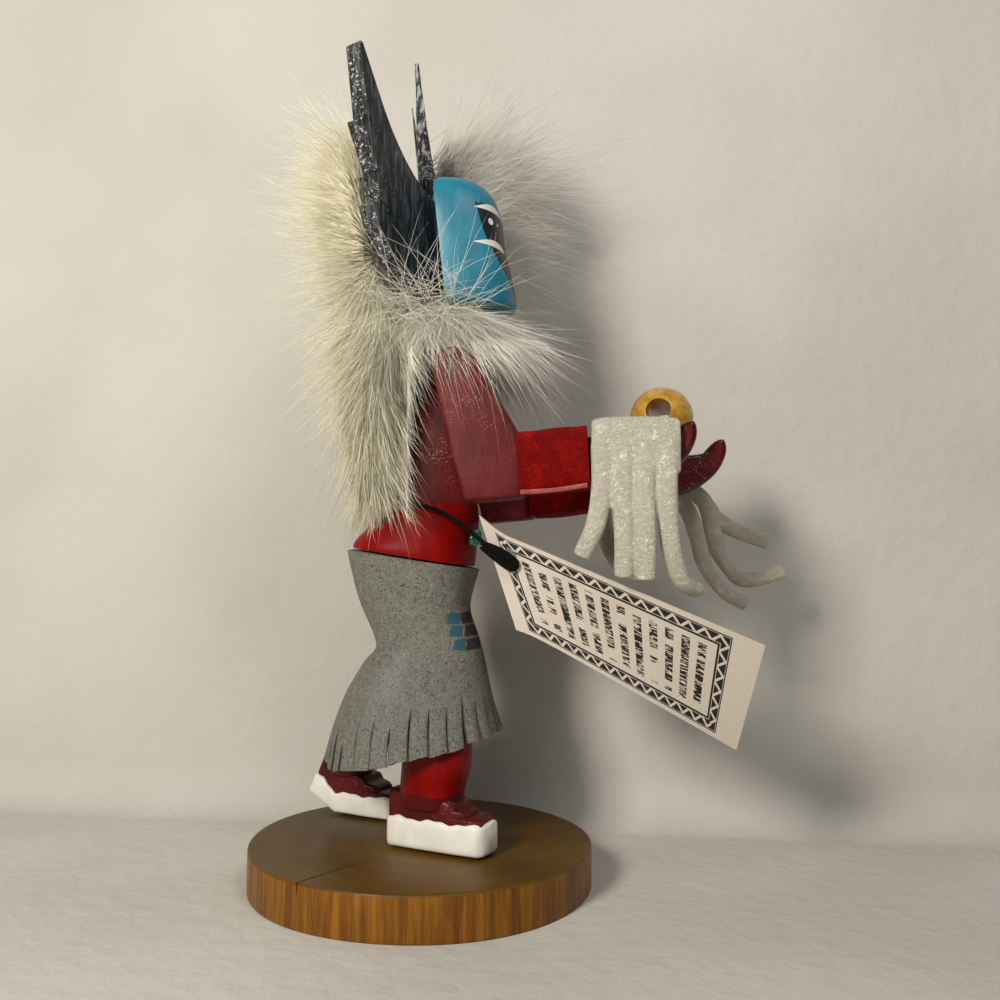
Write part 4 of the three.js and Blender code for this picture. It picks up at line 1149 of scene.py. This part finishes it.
def print_finish():
    material, tree, shader, point = finish("printed_card", 0.75)
    uv = node(tree, "ShaderNodeUVMap", uv_map="card").outputs[0]
    parts = node(tree, "ShaderNodeSeparateXYZ", {0: uv}).outputs
    along = times(tree, parts[0], TAG_LENGTH)
    across = times(tree, parts[1], TAG_WIDTH)
    ink = maths(tree, "MAXIMUM", border(tree, along, across), print_rows(tree, along, across))
    grain = node(tree, "ShaderNodeTexNoise", {"Vector": point, "Scale": 3000.0, "Detail": 3.0})
    paper = blend(tree, grain.outputs[0], rgb(196, 184, 170), rgb(222, 212, 200))
    colour(tree, shader, blend(tree, ink, paper, rgb(26, 22, 22)))
    bump(tree, shader, grain.outputs[0], 0.03)
    return material


TAG_TOP = [(-9.6, -10.9, 62.7), (-10.6, -15, 59.6), (-11.6, -20.8, 57.1), (-16.5, -56, 42.4)]
TAG_BOTTOM = [(-10.4, -17.2, 43.9), (-9.6, -24.4, 40.6), (-6.8, -52.8, 24.9)]
TAG_THICKNESS, TAG_COLUMNS, TAG_ROWS = 0.4, 60, 24
HOLE_STATION, HOLE_ACROSS, HOLE_RADIUS = 0.085, 0.27, 1.6


def even(line, stations):
    """Points of a smooth curve at even distances along it."""
    fine = spline(np.array(line, float), np.linspace(0, 1, 400))
    run = np.concatenate([[0], np.cumsum(np.linalg.norm(np.diff(fine, axis=0), axis=1))])
    return np.stack([np.interp(np.asarray(stations) * run[-1], run, fine[:, k]) for k in range(3)], 1)


def card_sheet(upper, lower):
    """The card without its thickness: rows of squares between two edges, with UVs from 0 to 1."""
    columns, rows = TAG_COLUMNS, TAG_ROWS
    points = [tuple(upper[i] * (1 - j / rows) + lower[i] * j / rows)
              for i in range(columns + 1) for j in range(rows + 1)]
    corners = [i * (rows + 1) + j for i in range(columns) for j in range(rows)]
    faces = [(k, k + 1, k + rows + 2, k + rows + 1) for k in corners]
    piece = mesh_piece("card_tag", points, faces)
    layer = piece.data.uv_layers.new(name="card")
    for loop in piece.data.loops:
        i, j = divmod(loop.vertex_index, rows + 1)
        layer.data[loop.index].uv = (i / columns, j / rows)
    return piece


def build_tag():
    """The card with its punched hole, and the middle of the hole."""
    stations = np.linspace(0, 1, TAG_COLUMNS + 1)
    upper, lower = even(TAG_TOP, stations), even(TAG_BOTTOM, stations)
    piece = card_sheet(upper, lower)
    modify(piece, "SOLIDIFY", thickness=TAG_THICKNESS * MM, offset=0)
    hole_top, hole_bottom = even(TAG_TOP, [HOLE_STATION])[0], even(TAG_BOTTOM, [HOLE_STATION])[0]
    at = hole_top * (1 - HOLE_ACROSS) + hole_bottom * HOLE_ACROSS
    select()
    bpy.ops.mesh.primitive_cylinder_add(vertices=40, radius=HOLE_RADIUS * MM, depth=6 * MM)
    punch = bpy.context.object
    normal = Vector(np.cross(upper[8] - upper[3], lower[5] - upper[5])).normalized()
    turned = normal.to_track_quat("Z", "Y").to_matrix().to_4x4()
    punch.matrix_world = Matrix.Translation(Vector(at) * MM) @ turned
    modify(piece, "BOOLEAN", operation="DIFFERENCE", object=punch, solver="EXACT")
    bpy.data.objects.remove(punch)
    return piece, Vector(at)


tag, hole = build_tag()
place(smooth(tag, 30), "card", print_finish(), "tag")

# %% Elastic loop
def elastic_finish():
    material, tree, shader, point = finish("black_elastic", 0.7)
    shader.inputs["Specular IOR Level"].default_value = 0.15
    threads = effect(tree, NAP, point, Scale=5200.0, Lumps=1600.0)
    colour(tree, shader, blend(tree, threads, rgb(4, 4, 5), rgb(18, 17, 18)))
    bump(tree, shader, threads, 0.08)
    return material


ELASTIC, KNOT = 0.7, 1.3
KNOT_TURNS = [(-0.6, 4.2, 2.2), (-0.9, 1.2, 1.2), (-1, -1.2, -0.6), (-0.9, -0.6, -1.4), (-0.9, 1.6, 0)]
ROUTE = [
    (0, 7.6, 67.2), (-6, 5.9, 66.3), (-9.2, 0.2, 64.6), (-9.9, -5.6, 62.6),
    (hole.x - 1.4, hole.y + 2, hole.z + 1.2), tuple(hole), (hole.x + 1.8, hole.y + 0.4, hole.z + 0.6),
    (-4, -11.2, 61), (1.5, -10.7, 62), (7, -7.9, 63.6), (9.6, -1.2, 65.2), (6.4, 5.6, 66.6)]


def closed_tube(name, line, diameter, sides=14, steps=220):
    """A round cord along a smooth closed line of points."""
    line = np.array(line, float)
    padded = np.concatenate([line[-3:], line, line[:4]])
    span = len(padded) - 1
    middle = spline(padded, np.linspace(3, 3 + len(line), steps, endpoint=False) / span)
    tangent = np.roll(middle, -1, 0) - np.roll(middle, 1, 0)
    tangent /= np.linalg.norm(tangent, axis=1)[:, None]
    first = np.cross(tangent, (0.02, 0.05, 1.0))
    first /= np.linalg.norm(first, axis=1)[:, None]
    second = np.cross(tangent, first)
    angle = np.arange(sides) / sides * 2 * math.pi
    rings = [m + diameter / 2 * (np.outer(np.cos(angle), f) + np.outer(np.sin(angle), s))
             for m, f, s in zip(middle, first, second)]
    return loft(name, rings, True)


elastic = elastic_finish()
loop = closed_tube("elastic_loop", ROUTE, ELASTIC)
place(smooth(loop, 60), "elastic", elastic, "tag_cord")
knot = closed_tube("elastic_knot", [tuple(hole + Vector(turn)) for turn in KNOT_TURNS], KNOT, steps=60)
place(smooth(knot, 60), "elastic", elastic)

# %% [markdown]
# ## Fur
# Rabbit fur is a soft undercoat with long guard hairs. Hair particles can't leave Blender as a mesh, so
# each hair here is a thin tapered spike with three sides. The hairs of the cape and the ruff grow from
# stacks of ovals, and the tuft grows from a line behind the head. The cape's hairs fan out from a whorl,
# and all of them droop a little at their tips. Nearby hairs lean together, so they gather into locks.

# %% Fur finish
def fur_finish():
    material, tree, shader, point = finish("rabbit_fur", 0.6, Sheen_Weight=0.5, Sheen_Roughness=0.4)
    shader.inputs["Specular IOR Level"].default_value = 0.3
    tone = node(tree, "ShaderNodeAttribute", attribute_name="tone").outputs["Fac"]
    along = node(tree, "ShaderNodeAttribute", attribute_name="along").outputs["Fac"]
    warm = node(tree, "ShaderNodeAttribute", attribute_name="warm").outputs["Fac"]
    grey = blend(tree, tone, rgb(224, 221, 210), rgb(250, 248, 240))
    yellow = blend(tree, tone, rgb(240, 232, 196), rgb(253, 249, 230))
    body = blend(tree, warm, grey, yellow)
    root = blend(tree, warm, rgb(206, 201, 186), rgb(232, 223, 180))
    colour(tree, shader, blend(tree, ramp(tree, along, 0.0, 0.55), root, body))
    return material


fur = fur_finish()

# %% Hairs as a mesh
PRESSED, PRESS_DEPTH = 32, 8


def over_the_arm(points):
    """Hairs that would run into an arm or the side of the chest lie over it instead."""
    low = np.clip((93 - points[:, 2]) / 3, 0, 1) * np.clip((points[:, 2] - 58) / 3, 0, 1)
    front = np.clip((3 - points[:, 1]) / 3, 0, 1) * np.clip((points[:, 1] + 24) / 2, 0, 1)
    least = 16.7 * low * front
    across = points[:, 0]
    points[:, 0] = np.where(across < 0, np.minimum(across, -least), np.maximum(across, least))
    return points


def hair_piece(name, points, rings, values):
    """A mesh of spikes from one row of points for each hair: three corners on each ring, then the tip."""
    count, size = points.shape[:2]
    mesh = bpy.data.meshes.new(name)
    mesh.vertices.add(count * size)
    mesh.vertices.foreach_set("co", (points.reshape(-1) * MM).astype(np.float32))
    shape = []
    for k in range(0, size - 4, 3):
        shape += [(k + a, k + (a + 1) % 3, k + (a + 1) % 3 + 3, k + a + 3) for a in range(3)]
    shape += [(size - 4 + a, size - 4 + (a + 1) % 3, size - 1) for a in range(3)] + [(2, 1, 0)]
    corners = np.array([i for face in shape for i in face])
    loops = (corners[None, :] + (np.arange(count) * size)[:, None]).reshape(-1)
    mesh.loops.add(len(loops))
    mesh.loops.foreach_set("vertex_index", loops.astype(np.int32))
    totals = np.tile([len(face) for face in shape], count)
    starts = np.concatenate([[0], np.cumsum(totals)[:-1]])
    mesh.polygons.add(len(totals))
    mesh.polygons.foreach_set("loop_start", starts.astype(np.int32))
    mesh.polygons.foreach_set("loop_total", totals.astype(np.int32))
    mesh.polygons.foreach_set("use_smooth", np.ones(len(totals), bool))
    mesh.update(calc_edges=True)
    values["along"] = np.tile(np.append(np.repeat(rings, 3), 1.0), count)
    for key, value in values.items():
        layer = mesh.attributes.new(key, "FLOAT", "POINT")
        layer.data.foreach_set("value", value.astype(np.float32))
    piece = bpy.data.objects.new(name, mesh)
    bpy.context.scene.collection.objects.link(piece)
    return place(piece, "rabbit_fur", fur)


def hair_mesh(name, roots, directions, lengths, widths, seed,
              droop=0.18, warm=0.3, rings=(0, 0.36, 0.7), curl=0.16):
    """Thin spikes, in millimetres. Hairs past PRESSED from the middle are squeezed towards the doll."""
    draw = np.random.default_rng(seed)
    count = len(roots)
    directions = directions / np.linalg.norm(directions, axis=1)[:, None]
    bend = draw.normal(0, curl, (count, 3)) - np.outer(np.broadcast_to(droop, count), (0, 0, 1.0))
    helper = np.where(np.abs(directions[:, :1]) < 0.8, [[1.0, 0, 0]], [[0, 1.0, 0]])
    first = np.cross(directions, helper)
    first /= np.linalg.norm(first, axis=1)[:, None]
    second = np.cross(directions, first)

    def at(t):
        places = over_the_arm(roots + lengths[:, None] * (directions * t + bend * (t * t)))
        past = np.maximum(places[:, 0] - PRESSED, 0)
        places[:, 0] -= past - PRESS_DEPTH * (1 - np.exp(-past / PRESS_DEPTH))
        return places

    layers = []
    for t in rings:
        for corner in range(3):
            angle = corner * 2 * math.pi / 3
            around = math.cos(angle) * first + math.sin(angle) * second
            layers.append(at(t) + around * (widths * (1 - 0.72 * t) / 2)[:, None])
    layers.append(at(1.0))
    size = len(layers)
    tone = np.repeat(draw.random(count), size)
    warmth = np.repeat(np.broadcast_to(warm, count), size)
    return hair_piece(name, np.stack(layers, 1), rings, {"tone": tone, "warm": warmth})


def clumps(places, seed, size=3.0, strength=0.35):
    """A smooth random lean, so that neighbouring hairs gather into locks."""
    draw = np.random.default_rng(seed)
    waves = draw.normal(0, 1 / size, (8, 3))
    phases = draw.uniform(0, 2 * math.pi, (8, 3))
    turns = places @ waves.T
    return strength * np.stack([np.sin(turns + phases[:, k]).sum(1) for k in range(3)], 1) / 2


# %% Undercoat
CAPE_ROWS = [
    {"y": 7.4, "z": 63.2, "rx": 5, "ry": 0.8}, {"y": 7.2, "z": 65.5, "rx": 9, "ry": 1.8},
    {"y": 7.2, "z": 73, "rx": 12, "ry": 3.2}, {"y": 7.2, "z": 84, "rx": 14.2, "ry": 4.6},
    {"y": 7, "z": 92, "rx": 14.6, "ry": 5}, {"y": 7.6, "z": 98, "rx": 12.6, "ry": 4.4},
    {"x": 0.5, "y": 9.6, "z": 107, "rx": 12, "ry": 3.6}, {"x": 1, "y": 11, "z": 116, "rx": 13, "ry": 3.6},
    {"x": 1.5, "y": 11.2, "z": 124, "rx": 9.5, "ry": 3}, {"x": 1.5, "y": 11.2, "z": 128, "rx": 3.5, "ry": 1}]
RUFF_ROWS = [
    {"y": -3, "z": 94.5, "rx": 8.5, "ry": 4.5}, {"y": -3.4, "z": 95.6, "rx": 10.4, "ry": 6},
    {"y": -3.8, "z": 97.3, "rx": 10.4, "ry": 6.5}, {"y": -4, "z": 98.6, "rx": 7.5, "ry": 5.5}]


def undercoat_finish():
    material, tree, shader, point = finish("undercoat", 0.95, Sheen_Weight=0.3)
    fluff = effect(tree, GRAIN, point, Scale=1500.0, Along_Z=0.25)
    colour(tree, shader, blend(tree, fluff, rgb(226, 217, 176), rgb(246, 240, 212)))
    bump(tree, shader, fluff, 0.5)
    return material


wool = undercoat_finish()
cape_coat = carved("cape_undercoat", CAPE_ROWS, count=40)
place(smooth(cape_coat), "rabbit_fur", wool, "fur_wrap")
ruff_coat = carved("ruff_undercoat", RUFF_ROWS, count=20)
place(smooth(ruff_coat), "rabbit_fur", wool)

# %% Hairs keep behind the wings
PLANES = [(-1, *board_back("right_wing")), (1, *board_back("left_wing"))]


def behind_the_wings(roots, directions):
    """Moves roots at wing height behind the boards and turns their hairs away from the boards."""
    for hand, middle, back in PLANES:
        near = np.clip((roots[:, 2] - 99) / 5, 0, 1) * (roots[:, 0] * hand > -1)
        depth = (roots - middle) @ back
        roots += np.outer(near * np.maximum(0, 2.2 - depth), back)
        facing = directions @ back
        directions += np.outer(near * np.maximum(0, 0.12 - facing), back)
    return roots, directions


# %% Cape hairs
def on_rows(rows, count, seed):
    """Random places on a stack of ovals, with the way out of it at each place."""
    draw = np.random.default_rng(seed)
    keys = ("x", "y", "z", "rx", "ry")
    table = np.array([[row.get(key, 0) for key in keys] for row in rows])
    t, angle = draw.random(count), draw.uniform(0, 2 * math.pi, count)
    x, y, z, rx, ry = spline(table, t).T
    out = np.stack([np.cos(angle) / rx, np.sin(angle) / ry, 0 * t], 1)
    out /= np.linalg.norm(out, axis=1)[:, None]
    return np.stack([x + rx * np.cos(angle), y + ry * np.sin(angle), z], 1), out, draw


WHORL = np.array([0, 4.5, 106.0])


def cape_hairs(name, count, seed, length, width, lift, **kind):
    roots, out, draw = on_rows(CAPE_ROWS, count, seed)
    fan = (roots - WHORL) * np.array([0, 1.0, 1.0])
    fan /= np.linalg.norm(fan, axis=1)[:, None]
    high = np.clip((roots[:, 2] - 100) / 12, 0, 1)[:, None]
    directions = out * (lift + 0.5 * high) + fan + (1 - high) * np.array([0, 0, -0.7])
    directions += clumps(roots, 7) + draw.normal(0, 0.16, roots.shape)
    roots, directions = behind_the_wings(roots, directions)
    low = np.clip((roots[:, 2] - 62) / 10, 0.35, 1)
    lengths = length * draw.uniform(0.5, 1.2, len(roots)) * low
    widths = width * draw.uniform(0.6, 1.3, len(roots))
    warm = np.clip(0.45 + (roots[:, 1] - 4) / 10 + draw.normal(0, 0.15, len(roots)), 0, 1)
    return hair_mesh(name, roots, directions, lengths, widths, seed + 1, warm=warm, **kind)


cape_hairs("cape_down", 40000, 11, 4.8, 0.16, 0.6, rings=(0,))
cape_hairs("cape_fur", 12000, 23, 9, 0.08, 0.45)
cape_hairs("cape_guard_hairs", 4600, 29, 14, 0.14, 0.4, droop=0.1)

# %% Ruff hairs
def ruff_hairs(name, count, seed, length, width, **kind):
    roots, out, draw = on_rows(RUFF_ROWS, count, seed)
    front = np.clip((2 - roots[:, 1]) / 12, 0, 1)[:, None]
    directions = out * 0.45 + front * np.array([0, -0.75, -0.45]) + np.array([0, 0, -0.65])
    directions += clumps(roots, seed, strength=0.25) + draw.normal(0, 0.2, roots.shape)
    lengths = length * draw.uniform(0.35, 1.2, len(roots)) * (0.5 + 0.5 * front[:, 0])
    widths = width * draw.uniform(0.6, 1.3, len(roots))
    warm = np.clip(0.15 + (roots[:, 1] + 4) / 14 + draw.normal(0, 0.12, len(roots)), 0, 1)
    return hair_mesh(name, roots, directions, lengths, widths, seed + 1, warm=warm, **kind)


ruff_hairs("ruff_down", 8000, 31, 7, 0.06, rings=(0,))
ruff_hairs("ruff_fur", 3600, 37, 18, 0.055, droop=0.12)
ruff_hairs("ruff_guard_hairs", 800, 41, 21, 0.14, droop=0.08)

# %% Tuft hairs
TUFT_SPINE = [(12, 2, 105), (15, 1, 113), (17, 0, 120), (18, -2, 126), (18, -3, 131)]


def tuft_hairs(name, count, seed, length, width, **kind):
    """Hairs that fan forwards from a line behind the head."""
    draw = np.random.default_rng(seed)
    middle = spline(np.array(TUFT_SPINE, float), draw.random(count) ** 0.7)
    roots = middle + draw.normal(0, 1, (count, 3)) * np.array([1.6, 2.4, 2.2])
    rise = draw.normal(0.12, 0.42, count) + (roots[:, 2] - 119) * 0.035
    directions = np.stack([draw.normal(0.02, 0.2, count), -np.ones(count), rise], 1)
    directions += clumps(roots, seed, size=5, strength=0.3)
    lengths = length * draw.uniform(0.2, 1.2, count)
    widths = width * draw.uniform(0.6, 1.4, count)
    return hair_mesh(name, roots, directions, lengths, widths, seed + 1, warm=0.02, **kind)


tuft_hairs("tuft_down", 11500, 47, 15, 0.08, rings=(0, 0.5), droop=0.05, curl=0.3)
tuft_hairs("tuft_fur", 4200, 51, 24, 0.05, droop=0.1)
tuft_hairs("tuft_guard_hairs", 260, 53, 30, 0.1, droop=0.1)

# %% Stray hairs
STANDING_HAIRS = 9


def stray_hairs(name, count, seed):
    """Long loose hairs over the mask, the shoulder and the wings' feet; the first few stand up."""
    draw = np.random.default_rng(seed)
    x, y, z = draw.uniform(-15, -7, count), draw.uniform(-10, 8, count), draw.uniform(95, 100, count)
    roots = np.stack([x, y, z], 1)
    turn = draw.uniform(0, 2 * math.pi, count)
    directions = np.stack([draw.uniform(-0.5, -0.1, count), np.cos(turn), 0.8 * np.sin(turn)], 1)
    lengths = draw.uniform(8, 17, count)
    few = STANDING_HAIRS
    x, y, z = draw.uniform(8, 16, few), draw.uniform(-14, 12, few), draw.uniform(108, 122, few)
    roots[:few] = np.stack([x, y, z], 1)
    directions[:few] = np.stack([np.zeros(few), draw.uniform(-0.5, 0.5, few), np.ones(few)], 1)
    lengths[:few] = draw.uniform(22, 34, few)
    return hair_mesh(name, roots, directions, lengths, np.full(count, 0.11), seed + 1, warm=0.1, droop=0.05,
                     rings=(0, 0.2, 0.4, 0.6, 0.8), curl=0.25)


stray_hairs("stray_hairs", 230, 61)

# %% [markdown]
# ## Stage and light
# The doll stands on pale paper that curves up close to its left side, away from the camera. A soft lamp
# behind the camera and to its left gives the main light, a weaker one high on its right fills in, and a
# faint cool sky lifts the shadows.

# %% Paper sweep
def paper_finish():
    material, tree, shader, point = finish("pale_paper", 0.9)
    mottle = effect(tree, DRIFT, point, Scale=18.0)
    fleck = node(tree, "ShaderNodeTexNoise", {"Vector": point, "Scale": 260.0, "Detail": 4.0})
    tone = blend(tree, mottle, rgb(197, 194, 187), rgb(205, 203, 197))
    colour(tree, shader, tone)
    bump(tree, shader, fleck.outputs[0], 0.4)
    clear = node(tree, "ShaderNodeBsdfTransparent")
    behind = node(tree, "ShaderNodeNewGeometry").outputs["Backfacing"]
    mixed = node(tree, "ShaderNodeMixShader", {0: behind, 1: shader.outputs[0], 2: clear.outputs[0]})
    tree.links.new(mixed.outputs[0], tree.nodes["Material Output"].inputs["Surface"])
    return material


WALL, CURVE, PAPER = 42, 10, 600
bend = [(WALL - CURVE + CURVE * math.sin(a), CURVE - CURVE * math.cos(a))
        for a in np.linspace(0, math.pi / 2, 24)]
profile = [(-PAPER, 0)] + bend + [(WALL, PAPER)]
sweep = mesh_piece(
    "paper_sweep", [(x, y, z - 0.02) for y in (-PAPER, PAPER) for x, z in profile],
    [(i, i + 1, i + 1 + len(profile), i + len(profile)) for i in range(len(profile) - 1)])
sweep.data.materials.append(paper_finish())
if sweep.data.polygons[0].normal.z < 0:
    sweep.data.flip_normals()
smooth(sweep, 60)

# %% Lights
def soft_lamp(name, place_at, aim, size, power, tint):
    data = bpy.data.lights.new(name, "AREA")
    data.shape = "SQUARE"
    data.size = size
    data.energy = power
    data.color = tint
    lamp = bpy.data.objects.new(name, data)
    lamp.location = place_at
    lamp.rotation_euler = (Vector(aim) - Vector(place_at)).to_track_quat("-Z", "Y").to_euler()
    bpy.context.scene.collection.objects.link(lamp)
    print("lamp:", name, power, "W")


soft_lamp("key_lamp", (-0.31, 0.13, 0.2), (0.04, 0.06, 0.12), 0.08, 1.25, (1, 0.94, 0.83))
soft_lamp("fill_lamp", (-0.2, -0.14, 0.3), (0.02, -0.08, 0.12), 0.1, 0.28, (1, 0.97, 0.92))
world = bpy.data.worlds.new("soft_sky")
bpy.context.scene.world = world
world.use_nodes = True
world.node_tree.nodes["Background"].inputs["Color"].default_value = (0.7, 0.84, 1, 1)
world.node_tree.nodes["Background"].inputs["Strength"].default_value = 0.055
